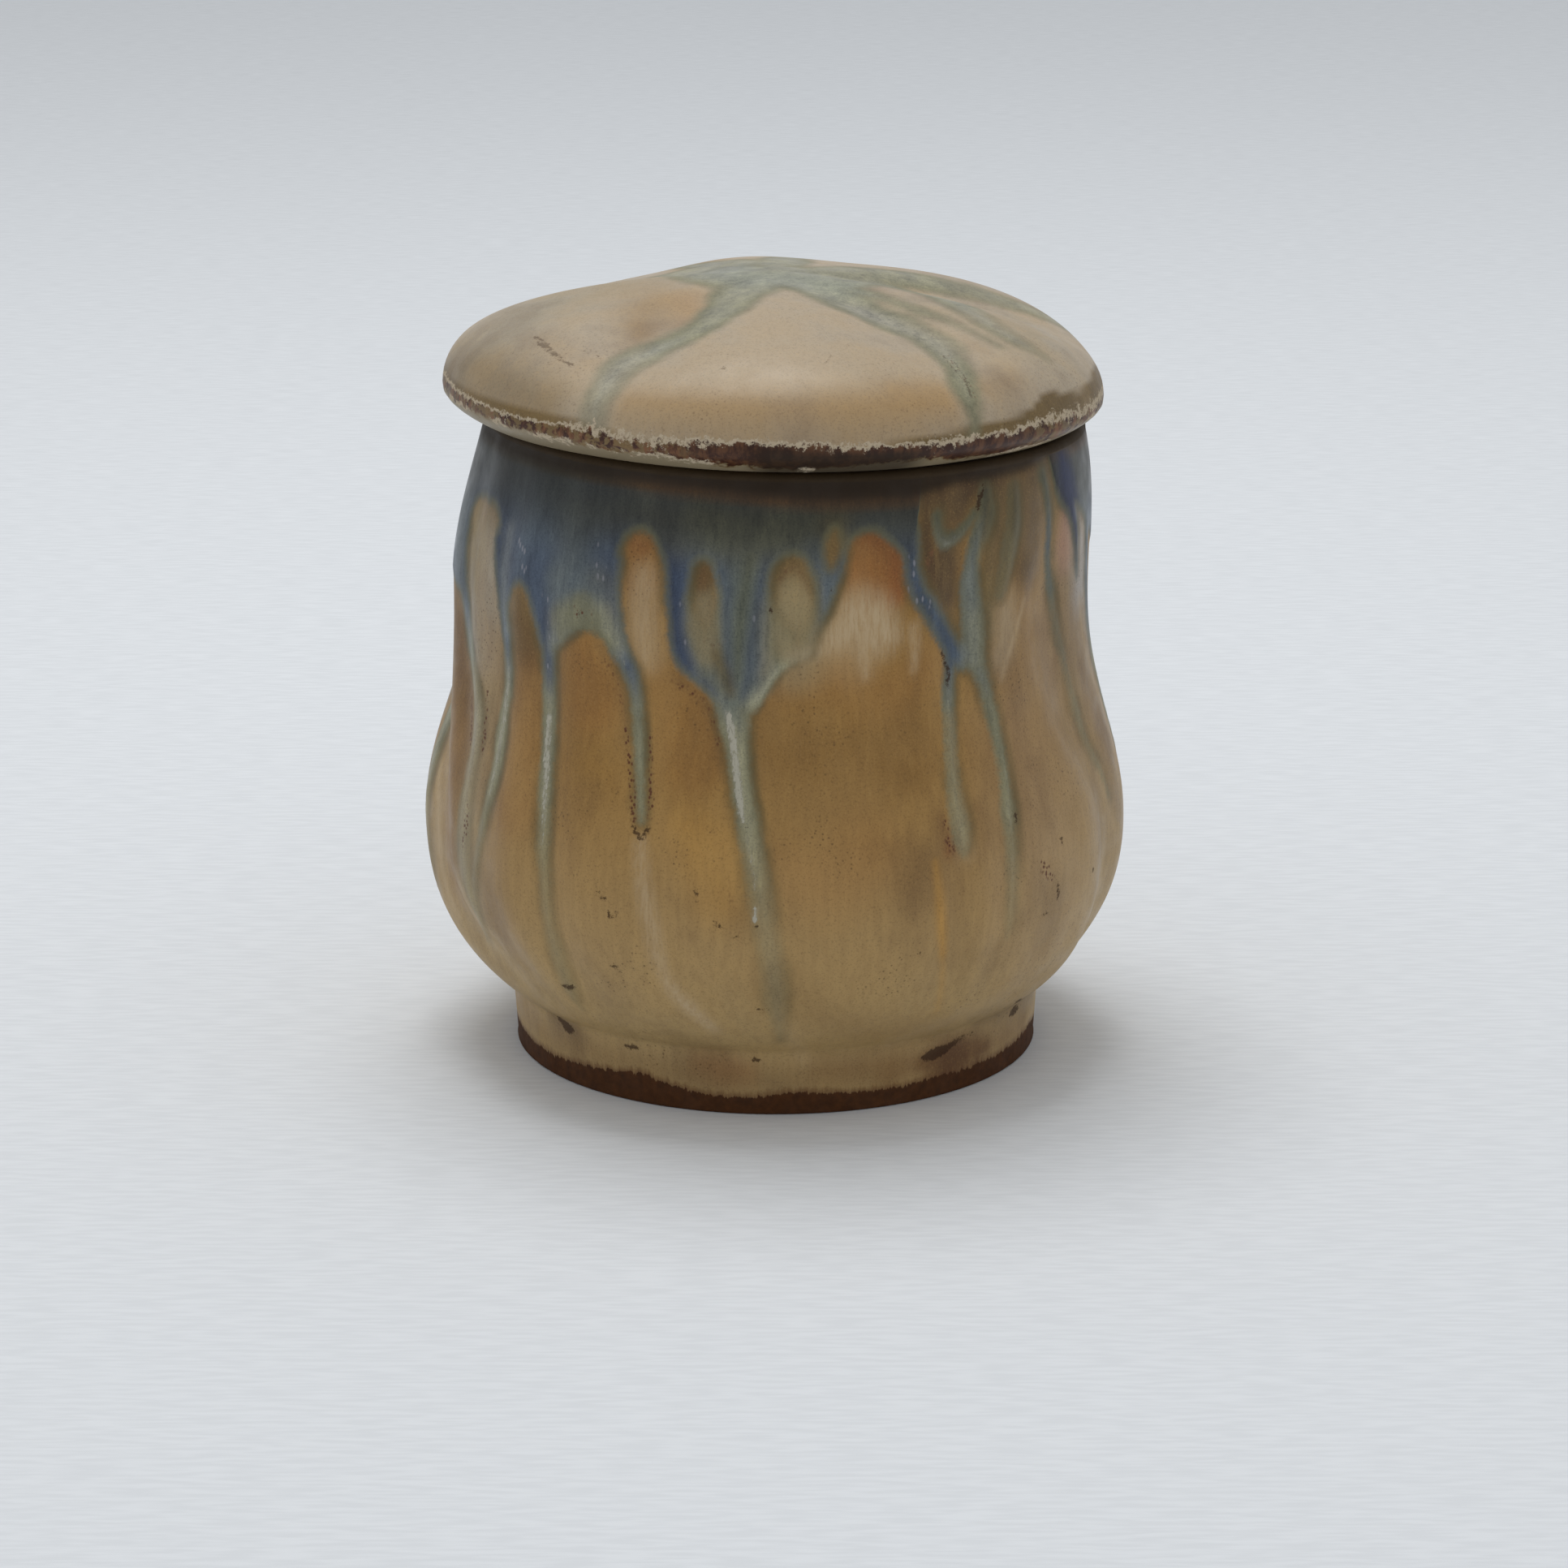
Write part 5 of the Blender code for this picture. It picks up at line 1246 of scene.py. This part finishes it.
# Height over the seat up to which the glaze is olive
OLIVE_EDGE = (
    (-90, 7.4), (-60, 7), (-40, 6.6), (-32, 6.4), (-26, 5), (-10, 5.2), (10, 4.9), (18, 5.2), (30, 6.2),
    (38, 6.8), (43, 7), (47, 7.4), (50, 8.2), (53, 9.4), (56, 9.6), (60, 8.7), (65, 8.2), (70, 8.6),
    (76, 9.4), (82, 9.8), (90, 8.6), (120, 6), (180, 6.2), (230, 6.4),
)
OLIVE_SOFTNESS = 0.8
OLIVE_STRENGTH = 0.94

# In front the iron band is unbroken, and dark. Each has its middle azimuth and, in degrees from
# there, where it starts and where it is full.
WHOLE_MIDDLE = 17
WHOLE_ENDS = (38, 28)
DARK_MIDDLE = 11
DARK_ENDS = (19.7, 10.7)
DARK_STRENGTH = 0.75
DARK_SOFTNESS = 1.5


def paint_lid(azimuth, reach, rise):
    """The lid's glaze. Its edge is painted by the height over the seat, and the rest by reach."""
    skin = Skin(azimuth, reach, rolled=False)
    azimuth = skin.azimuth
    rise = np.broadcast_to(rise, azimuth.shape)
    margin = np.full(azimuth.shape, -FAR)
    for path in LID_STREAMS:
        margin = joined(margin, skin.inside(path), LID_WEB)

    skin.paint("ground", SAND)
    skin.tint("ground", LID_GROUND)
    skin.paint("run", LID_SAGE)
    skin.tint("run", LID_RUN)
    skin.mark(LID_MARKS)
    skin.stain(LID_STAINS)

    fringe = around_value(azimuth, [(at, height) for at, height, _ in FRINGE])
    half = around_value(azimuth, [(at, width) for at, _, width in FRINGE])
    olive = smooth((around_value(azimuth, OLIVE_EDGE) - rise) / OLIVE_SOFTNESS + 0.5) * OLIVE_STRENGTH
    skin.tints["ground"] = blend(skin.tints["ground"], linear(OLIVE), olive[..., None])
    skin.marks["over_fringe"] = np.clip((rise - fringe) / half, -FAR, FAR)
    skin.marks["over_iron"] = np.clip(rise - around_value(azimuth, IRON_EDGE), -FAR, FAR)
    skin.marks["whole"] = fade(np.abs(turned(azimuth, WHOLE_MIDDLE)), WHOLE_ENDS)
    in_front = fade(np.abs(turned(azimuth, DARK_MIDDLE)), DARK_ENDS)
    skin.marks["dark"] = DARK_STRENGTH * in_front * smooth((fringe - rise) / DARK_SOFTNESS)
    skin.margin = np.minimum(margin, (rise - fringe) * FRINGE_SLOPE)
    return skin


def build_lid():
    azimuth = columns()[None, :]
    seat = RIM_HEIGHT + SEAT_GAP
    under = lid_underside()
    skinned = lid_outside()
    share, rise = skinned[:, :1], skinned[:, 1:]
    dip = sum(deep * bump(azimuth, at, spread) for at, deep, spread in VALLEYS)
    # The valleys are deepest two thirds of the way out, where this weight is 1
    weight = np.where(rise > LID_EDGE_HEIGHT, 6.75 * share * share * (1 - share), 0.0)
    radius = RIM_RADIUS + LID_OVERHANG - VALLEY_OUTLINE * dip
    outside = around(azimuth, share * radius, seat + rise - weight * dip, LID_OFFSET)
    inside = around(azimuth, under[:, :1], under[:, 1:], RIM_OFFSET)
    skin = paint_lid(azimuth, share * (RIM_RADIUS + LID_OVERHANG) * MM, rise * MM)
    fields = full_fields(skin, len(under), 0, LID_INSIDE)
    return mesh_piece("lid_glazed", np.concatenate([inside, outside]), fields)


class Nodes:
    """Adds nodes to one material, with short calls. An input is a value or another's output."""

    def __init__(self, name):
        self.material = bpy.data.materials.new(name)
        self.material.use_nodes = True
        self.tree = self.material.node_tree
        self.tree.nodes.clear()

    def add(self, kind, inputs=(), **settings):
        node = self.tree.nodes.new("ShaderNode" + kind)
        for key, value in settings.items():
            setattr(node, key, value)
        for key, value in dict(inputs).items():
            self.put(node.inputs[key], value)
        return node

    def put(self, socket, value):
        if isinstance(value, bpy.types.NodeSocket):
            self.tree.links.new(value, socket)
        elif socket.type == "RGBA" and len(value) == 3:
            socket.default_value = (*linear(value), 1.0)
        else:
            socket.default_value = value

    def field(self, name):
        return self.add("Attribute", attribute_name=name).outputs["Fac"]

    def colour_field(self, name):
        return self.add("Attribute", attribute_name=name).outputs["Color"]

    def maths(self, kind, *values, clamp=False):
        return self.add("Math", enumerate(values), operation=kind, use_clamp=clamp).outputs[0]

    def times(self, a, b, clamp=False):
        return self.maths("MULTIPLY", a, b, clamp=clamp)

    def plus(self, a, b, clamp=False):
        return self.maths("ADD", a, b, clamp=clamp)

    def larger(self, a, b):
        return self.maths("MAXIMUM", a, b)

    def gather(self, total, shares):
        """The total with a share of each of these values added, given as value and share."""
        for value, share in shares:
            total = self.plus(total, self.times(value, share))
        return total

    def ease(self, value, low, high, start=0.0, end=1.0):
        """start where the value is low, end where it is high, and an even S between them."""
        inputs = {0: value, 1: low, 2: high, 3: start, 4: end}
        return self.add("MapRange", inputs, interpolation_type="SMOOTHSTEP").outputs[0]

    def mix(self, share, a, b, kind="MIX"):
        inputs = {"Factor": share, "A": a, "B": b}
        return self.add("Mix", inputs, data_type="RGBA", blend_type=kind).outputs["Result"]

    def layered(self, colour, layers, kind="MIX"):
        """The colour with layers over it, each a texture, the values of it between which the
        layer comes or goes, the layer's share at each of them, and its tint."""
        for texture, low, high, start, end, tint in layers:
            colour = self.mix(self.ease(texture, low, high, start, end), colour, tint, kind)
        return colour

    def swing(self, value, width):
        """The value turned into a swing about 0, this wide in all."""
        return self.times(self.maths("SUBTRACT", value, 0.5), width)

    def squeezed(self, squeeze, shift):
        """Places on the piece, squeezed or stretched along an axis, and shifted."""
        place = self.add("TexCoord").outputs["Object"]
        inputs = {"Vector": place, "Scale": squeeze, "Location": (shift, shift, shift)}
        return self.add("Mapping", inputs).outputs["Vector"]

    def noise(self, per_metre, detail, rough, squeeze, shift=0.0):
        """Noise with about this many waves to the metre."""
        inputs = {"Vector": self.squeezed(squeeze, shift), "Scale": per_metre}
        inputs.update({"Detail": detail, "Roughness": rough})
        return self.add("TexNoise", inputs).outputs["Fac"]

    def dots(self, per_metre, radius, squeeze, shift=0.0):
        """1 in scattered dots of about this radius, in cells, and 0 elsewhere."""
        cells = self.add("TexVoronoi", {"Vector": self.squeezed(squeeze, shift), "Scale": per_metre})
        return self.ease(cells.outputs["Distance"], radius * 0.6, radius * 1.3, 1.0, 0.0)

    def relief(self, height, strength, distance):
        """The normal over a surface with this fine relief."""
        inputs = {"Strength": strength, "Distance": distance, "Height": height}
        return self.add("Bump", inputs).outputs["Normal"]

    def finished(self, inputs):
        """The material, with these inputs of its shader."""
        shader = self.add("BsdfPrincipled", inputs)
        self.add("OutputMaterial", {"Surface": shader.outputs["BSDF"]})
        return self.material


# The satin glaze mirrors less than clear glass does, and the cloth hardly at all
SATIN_SPECULAR = 0.33
CLOTH_SPECULAR = 0.1

# What sets the two glazes apart: how soft the edges of the runs are, how strong the halo round them,
# the threads, the grain, the freckles, the shade beside the runs and the stains are, how far the
# curdling and the curls of crust are drawn out upright, and how readily the crust forms
JAR_LOOK = SimpleNamespace(
    name="body_glaze_look",
    softness=1.0,
    halo=0.55,
    threads=0.17,
    grain=0.25,
    freckles=0.5,
    shade=0.55,
    stains=0.80,
    curdle_squeeze=0.35,
    curl_squeeze=0.45,
    crust=0.37,
    crust_colour=(184, 180, 164),
)
LID_LOOK = SimpleNamespace(
    name="lid_glaze_look",
    softness=2.1,
    halo=0.20,
    threads=0.10,
    grain=0.22,
    freckles=0.3,
    shade=0.0,
    stains=0.50,
    curdle_squeeze=1.0,
    curl_squeeze=1.0,
    crust=0.40,
    crust_colour=(196, 180, 154),
)

# Textures of the glaze: waves to the metre, detail, roughness, squeeze, which draws them out
# upright where it is below 1, and shift, which keeps them apart
TEXTURES = {
    "threads": (850, 4.0, 0.6, 0.11, 0.0),
    "hairs": (1900, 4.0, 0.7, 0.16, 0.0),
    "grain": (2900, 2.0, 0.7, 1.0, 0.0),
    "patches": (55, 3.0, 0.6, 0.6, 0.0),
    "freckled parts": (70, 2.0, 0.5, 1.0, 3.0),
    "wander": (160, 3.0, 0.5, 1.0, 0.0),
    "fray": (1500, 2.0, 0.5, 1.0, 0.0),
    "haloed parts": (75, 2.0, 0.5, 1.0, 9.0),
    "flow": (190, 4.0, 0.6, 0.14, 7.0),
    "curdle": (620, 5.0, 0.72, 1.0, 11.0),
    "shaded parts": (110, 2.0, 0.5, 1.0, 8.0),
    "mottle": (520, 4.0, 0.68, 0.5, 2.0),
    "fringe": (620, 4.0, 0.75, 1.0, 12.0),
    "band edge": (520, 4.0, 0.75, 1.0, 13.0),
    "beads": (760, 3.0, 0.6, 1.0, 15.0),
    "crusty parts": (130, 2.0, 0.5, 1.0, 14.0),
    "curls": (1900, 5.0, 0.80, 1.0, 5.0),
    "ragged": (1900, 3.0, 0.7, 1.0, 6.0),
    "clay edge": (1300, 4.0, 0.7, 0.2, 0.0),
    "clay": (700, 4.0, 0.6, 1.0, 0.0),
    "gloss": (240, 3.0, 0.5, 1.0, 0.0),
    "bumps": (1100, 2.0, 0.5, 1.0, 0.0),
    "clay bumps": (1800, 4.0, 0.5, 1.0, 0.0),
}

# Dots in it: cells to the metre, radius as a share of a cell, squeeze, shift
DOTS = {
    "freckles": (1100, 0.20, 1.0, 0.0),
    "specks": (1000, 0.25, 0.42, 1.0),
    "pores": (1700, 0.40, 0.8, 4.0),
}


class Glaze(Nodes):
    """The drip glaze, driven by the fields on the mesh. Distances in them are millimetres."""

    def __init__(self, look):
        super().__init__(look.name)
        self.look = look
        self.threads = self.texture("threads")
        self.hairs = self.texture("hairs")
        self.grain = self.texture("grain")
        mist_share = self.ease(self.hairs, 0.34, 0.64, 0.45, 1.05)
        self.mist_and_highlight = self.times(self.field("mist_and_highlight"), mist_share, clamp=True)
        # How far inside the runs, with an unsteady edge, and how well the runs cover
        wander = self.swing(self.texture("wander"), 1.3 * look.softness)
        fray = self.swing(self.texture("fray"), 0.8)
        self.margin = self.plus(self.field("margin"), self.plus(wander, fray))
        self.cover = self.ease(self.field("faint"), 0.0, 1.0, 1.0, 0.32)
        # Iron, mottled from a dark to a rusty brown
        self.mottle = self.texture("mottle")
        self.iron_colour = self.mix(self.ease(self.mottle, 0.42, 0.62), DARK_IRON, RUSTY_IRON)

    def texture(self, name, squeeze=1.0):
        per_metre, detail, rough, share, shift = TEXTURES[name]
        return self.noise(per_metre, detail, rough, (1.0, 1.0, share * squeeze), shift)

    def dotted(self, name):
        per_metre, radius, squeeze, shift = DOTS[name]
        return self.dots(per_metre, radius, (1.0, 1.0, squeeze), shift)

    def thin_glaze(self):
        """Patchy, with fine upright threads, iron freckles, pale mist and painted highlights in it."""
        look = self.look
        patches = self.texture("patches")
        layers = (
            (self.threads, 0.34, 0.62, look.threads, 0.0, UMBER),
            (self.threads, 0.52, 0.74, 0.0, 0.12, GOLD),
            (patches, 0.38, 0.62, 0.0, 0.22, GOLD),
            (patches, 0.34, 0.50, 0.24, 0.0, UMBER),
            (self.grain, 0.32, 0.48, look.grain, 0.0, SEPIA),
            (self.grain, 0.54, 0.70, 0.0, look.grain * 0.7, GOLD),
        )
        colour = self.layered(self.colour_field("ground"), layers)
        freckled = self.ease(self.texture("freckled parts"), 0.50, 0.66)
        freckles = self.times(self.dotted("freckles"), freckled)
        colour = self.mix(self.times(freckles, look.freckles), colour, SEPIA)
        return self.mix(self.mist_and_highlight, colour, MIST_AND_HIGHLIGHT)

    def with_runs(self, colour):
        """An olive halo in places, then the runs' celadon edge, then their own colour, then painted shade
        on their right.
        """
        look = self.look
        in_places = self.ease(self.texture("haloed parts"), 0.42, 0.58)
        halo = self.times(self.times(self.ease(self.margin, -2.0, -0.3), in_places), self.cover)
        colour = self.mix(self.times(halo, look.halo), colour, HALO_AND_SHADE_OLIVE)
        flow = self.texture("flow")
        curdle = self.texture("curdle", look.curdle_squeeze)
        layers = (
            (flow, 0.46, 0.66, 0.0, 0.60, PALER),
            (flow, 0.34, 0.48, 0.50, 0.0, DARKER),
            (curdle, 0.34, 0.50, 0.45, 0.0, DARKER),
            (curdle, 0.54, 0.68, 0.0, 0.45, PALER),
            (self.threads, 0.34, 0.50, 0.40, 0.0, DARKER),
            (self.hairs, 0.54, 0.70, 0.0, 0.40, PALER),
            (self.grain, 0.34, 0.50, 0.55, 0.0, DARKER),
            (self.grain, 0.56, 0.74, 0.0, 0.45, PALER),
        )
        run = self.layered(self.colour_field("run"), layers, "MULTIPLY")
        edge = self.ease(self.margin, -0.9 * look.softness, 0.5 * look.softness)
        colour = self.mix(self.times(edge, self.cover), colour, self.mix(0.5, run, CELADON))
        core = self.ease(self.margin, 0.1, 0.1 + 1.5 * look.softness)
        colour = self.mix(self.times(core, self.cover), colour, run)
        # Painted shade on the right of the runs, in the halo's olive
        uneven = self.ease(self.texture("shaded parts"), 0.36, 0.56, 0.3, 1.0)
        shade = self.times(self.times(self.field("shade"), uneven), self.cover)
        return self.mix(self.times(shade, look.shade), colour, HALO_AND_SHADE_OLIVE)

    def with_iron(self, colour):
        """Iron that shows through."""
        iron = self.plus(self.field("iron"), self.swing(self.mottle, 0.9))
        return self.mix(self.ease(iron, 0.30, 0.60), colour, self.iron_colour)

    def with_lid_edge(self, colour):
        """A pale lip and the iron band over it, and the crust field with a fringe on either side
        of that band."""
        curling = self.swing(self.texture("fringe"), 8.5)
        over_fringe = self.plus(self.field("over_fringe"), curling)
        wavy = self.swing(self.texture("band edge"), 4.2)
        over_iron = self.plus(self.field("over_iron"), wavy)
        colour = self.mix(self.ease(over_iron, -0.5, 0.2, 1.0, 0.0), colour, LIP_CREAM)

        band = self.times(self.ease(over_iron, -0.2, 0.3), self.ease(over_fringe, -0.3, 0.3, 1.0, 0.0))
        beads = self.ease(self.texture("beads"), 0.43, 0.54, 0.18, 1.0)
        whole = self.field("whole")
        band = self.times(band, self.larger(beads, whole))
        band_colour = self.mix(self.times(whole, 0.5), self.iron_colour, WHOLE_IRON)
        colour = self.mix(band, colour, band_colour)

        off_fringe = self.maths("ABSOLUTE", over_fringe)
        strong = self.ease(off_fringe, 0.2, 0.8, 1.2, 0.0)
        at_fringe = self.larger(strong, self.ease(off_fringe, 0.5, 1.9, 1.0, 0.0))
        off_iron = self.maths("ABSOLUTE", over_iron)
        broken = self.ease(self.texture("crusty parts"), 0.44, 0.58)
        at_iron = self.times(self.ease(off_iron, 0.1, 1.1, 1.1, 0.0), broken)
        return colour, self.larger(self.field("crust"), self.larger(at_fringe, at_iron))

    def with_crust(self, colour, field):
        """White crust, in fine curls, and where it is."""
        curls = self.texture("curls", self.look.curl_squeeze)
        crusty = self.maths("MULTIPLY_ADD", field, self.look.crust, curls)
        crust = self.ease(crusty, 0.82, 0.91)
        haze = self.times(self.ease(field, 0.0, 1.0, 0.0, 0.22), self.ease(crusty, 0.60, 0.90))
        colour = self.mix(haze, colour, self.look.crust_colour)
        return self.mix(self.times(crust, 0.85), colour, self.look.crust_colour), crust

    def with_specks(self, colour):
        """Specks afloat in the glaze, and where they are."""
        specks = self.dotted("specks")
        specks = self.times(specks, self.ease(self.field("specks"), 0.2, 0.8))
        return self.mix(self.times(specks, 0.50), colour, SPECK_GREY), specks

    def with_pores(self, colour):
        """Open pores, and where they are."""
        pores = self.dotted("pores")
        pores = self.times(pores, self.ease(self.field("pores"), 0.15, 0.55))
        return self.mix(self.times(pores, 0.9), colour, PORE_BROWN), pores

    def with_stains(self, colour):
        """Dark stains with ragged edges, and where they are."""
        ragged = self.swing(self.texture("ragged"), 1.6)
        stain = self.ease(self.plus(self.field("stain"), ragged), -0.05, 0.30)
        return self.mix(self.times(stain, self.look.stains), colour, STAIN_BROWN), stain

    def with_clay(self, colour):
        """Bare clay round the foot under a stained edge of glaze, and where it is."""
        uneven = self.swing(self.texture("clay edge"), 2.6)
        bare = self.plus(self.field("bare"), uneven)
        colour = self.mix(self.ease(bare, -1.3, -0.1, 0.0, 0.60), colour, CLAY_STAIN)
        clay = self.ease(bare, -0.15, 0.15)
        return self.mix(clay, colour, self.mix(self.texture("clay"), DARK_CLAY, PALE_CLAY)), clay


def glaze(look):
    """The whole glaze as a material, from the thin glaze up to what lies on it."""
    n = Glaze(look)
    dark = n.field("dark")
    colour = n.with_iron(n.with_runs(n.thin_glaze()))
    colour, crust_field = n.with_lid_edge(colour)
    # Painted shadow of the lid on the jar; on the lid, its iron band darker in front
    colour = n.mix(n.ease(dark, 0.0, 1.0, 0.0, 0.93), colour, SHADOWED_RIM)
    colour, crust = n.with_crust(colour, crust_field)
    colour, specks = n.with_specks(colour)
    colour, pores = n.with_pores(colour)
    colour, stain = n.with_stains(colour)
    colour, clay = n.with_clay(colour)

    # Gloss: satin where the glaze lies, dull on crust, iron and clay
    patchy = n.ease(n.texture("gloss"), 0.3, 0.7, -0.05, 0.07)
    gloss = n.plus(n.ease(n.margin, 0.0, 2.0, 0.42, 0.34), patchy)
    gloss = n.gather(gloss, ((crust, 0.25), (n.mist_and_highlight, 0.10), (n.larger(dark, stain), 0.30)))
    gloss = n.plus(gloss, n.times(clay, 0.45), clamp=True)

    # Fine relief
    raised = ((n.threads, 0.25), (crust, 0.8), (pores, -0.6), (specks, 0.4))
    bumps = n.gather(n.times(n.texture("bumps"), 0.25), raised)
    bumps = n.plus(bumps, n.times(clay, n.texture("clay bumps")))
    inputs = {"Base Color": colour, "Roughness": gloss, "Normal": n.relief(bumps, 0.5, 0.00012)}
    return n.finished({**inputs, "Specular IOR Level": SATIN_SPECULAR})


def cloth():
    """Pale cloth with a faint weave."""
    n = Nodes("pale_floor")
    weave = n.noise(900, 1.0, 0.5, (0.15, 1.0, 1.0))
    tone = n.mix(n.ease(weave, 0.3, 0.7), CLOTH_LOW, CLOTH_HIGH)
    inputs = {"Base Color": tone, "Roughness": 0.9, "Normal": n.relief(weave, 0.15, 0.0002)}
    return n.finished({**inputs, "Specular IOR Level": CLOTH_SPECULAR})


FLOOR_WIDTH = 8.0


def build_floor():
    half = FLOOR_WIDTH / 2
    corners = [(-half, -half, 0.0), (half, -half, 0.0), (half, half, 0.0), (-half, half, 0.0)]
    mesh = bpy.data.meshes.new("floor")
    mesh.from_pydata(corners, [], [(0, 1, 2, 3)])
    mesh.materials.append(cloth())
    floor = bpy.data.objects.new("floor", mesh)
    bpy.context.scene.collection.objects.link(floor)


# The light: an even grey room, and one warm soft lamp above and behind the jar
ROOM_COLOUR = (0.99, 0.99, 0.985, 1.0)
ROOM_STRENGTH = 0.58
LAMP_PLACE = (-0.10, 0.25, 1.30)
LAMP_TARGET = (0.0, 0.0, 0.06)
LAMP_WIDTH = 0.7
LAMP_WATTS = 7.0
LAMP_COLOUR = (1.0, 0.98, 0.95)


def add_lamp():
    lamp = bpy.data.lights.new("overhead", "AREA")
    lamp.shape = "DISK"
    lamp.size = LAMP_WIDTH
    lamp.energy = LAMP_WATTS
    lamp.color = LAMP_COLOUR
    overhead = bpy.data.objects.new("overhead", lamp)
    overhead.location = LAMP_PLACE
    away = np.array(LAMP_PLACE) - np.array(LAMP_TARGET)
    tip = math.atan2(math.hypot(away[0], away[1]), away[2])
    overhead.rotation_euler = (tip, 0.0, math.atan2(away[0], -away[1]))
    bpy.context.scene.collection.objects.link(overhead)


def light_scene():
    world = bpy.data.worlds.new("soft_room")
    world.use_nodes = True
    background = world.node_tree.nodes["Background"]
    background.inputs["Color"].default_value = ROOM_COLOUR
    background.inputs["Strength"].default_value = ROOM_STRENGTH
    bpy.context.scene.world = world
    add_lamp()


# The camera, as fitted to the photograph: pitch, distance from the aim, aim, and the lens from the
# photograph's width and the distance of its picture plane, both in its pixels
CAMERA_PITCH = math.radians(16.0)
CAMERA_DISTANCE = 0.832
CAMERA_AIM = (0.00172, 0.0, 0.0435)
PHOTO_WIDTH = 1932
PICTURE_PLANE = 6054
SENSOR_WIDTH = 36.0


def add_camera():
    lens = bpy.data.cameras.new("camera")
    lens.sensor_width = SENSOR_WIDTH
    lens.lens = SENSOR_WIDTH * (PICTURE_PLANE / PHOTO_WIDTH)
    lens.clip_start = 0.01
    lens.clip_end = 20.0
    camera = bpy.data.objects.new("camera", lens)
    back = CAMERA_DISTANCE * math.cos(CAMERA_PITCH)
    rise = CAMERA_DISTANCE * math.sin(CAMERA_PITCH)
    camera.location = (CAMERA_AIM[0], CAMERA_AIM[1] - back, CAMERA_AIM[2] + rise)
    camera.rotation_euler = (math.radians(90) - CAMERA_PITCH, 0.0, 0.0)
    bpy.context.scene.collection.objects.link(camera)
    bpy.context.scene.camera = camera


def dress(piece, node, look):
    piece.data.materials.append(glaze(look))
    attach(piece, node)
    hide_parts(node)


dress(build_jar(), "jar", JAR_LOOK)
dress(build_lid(), "lid", LID_LOOK)
build_floor()
light_scene()
add_camera()
bpy.context.scene.view_settings.view_transform = "Standard"
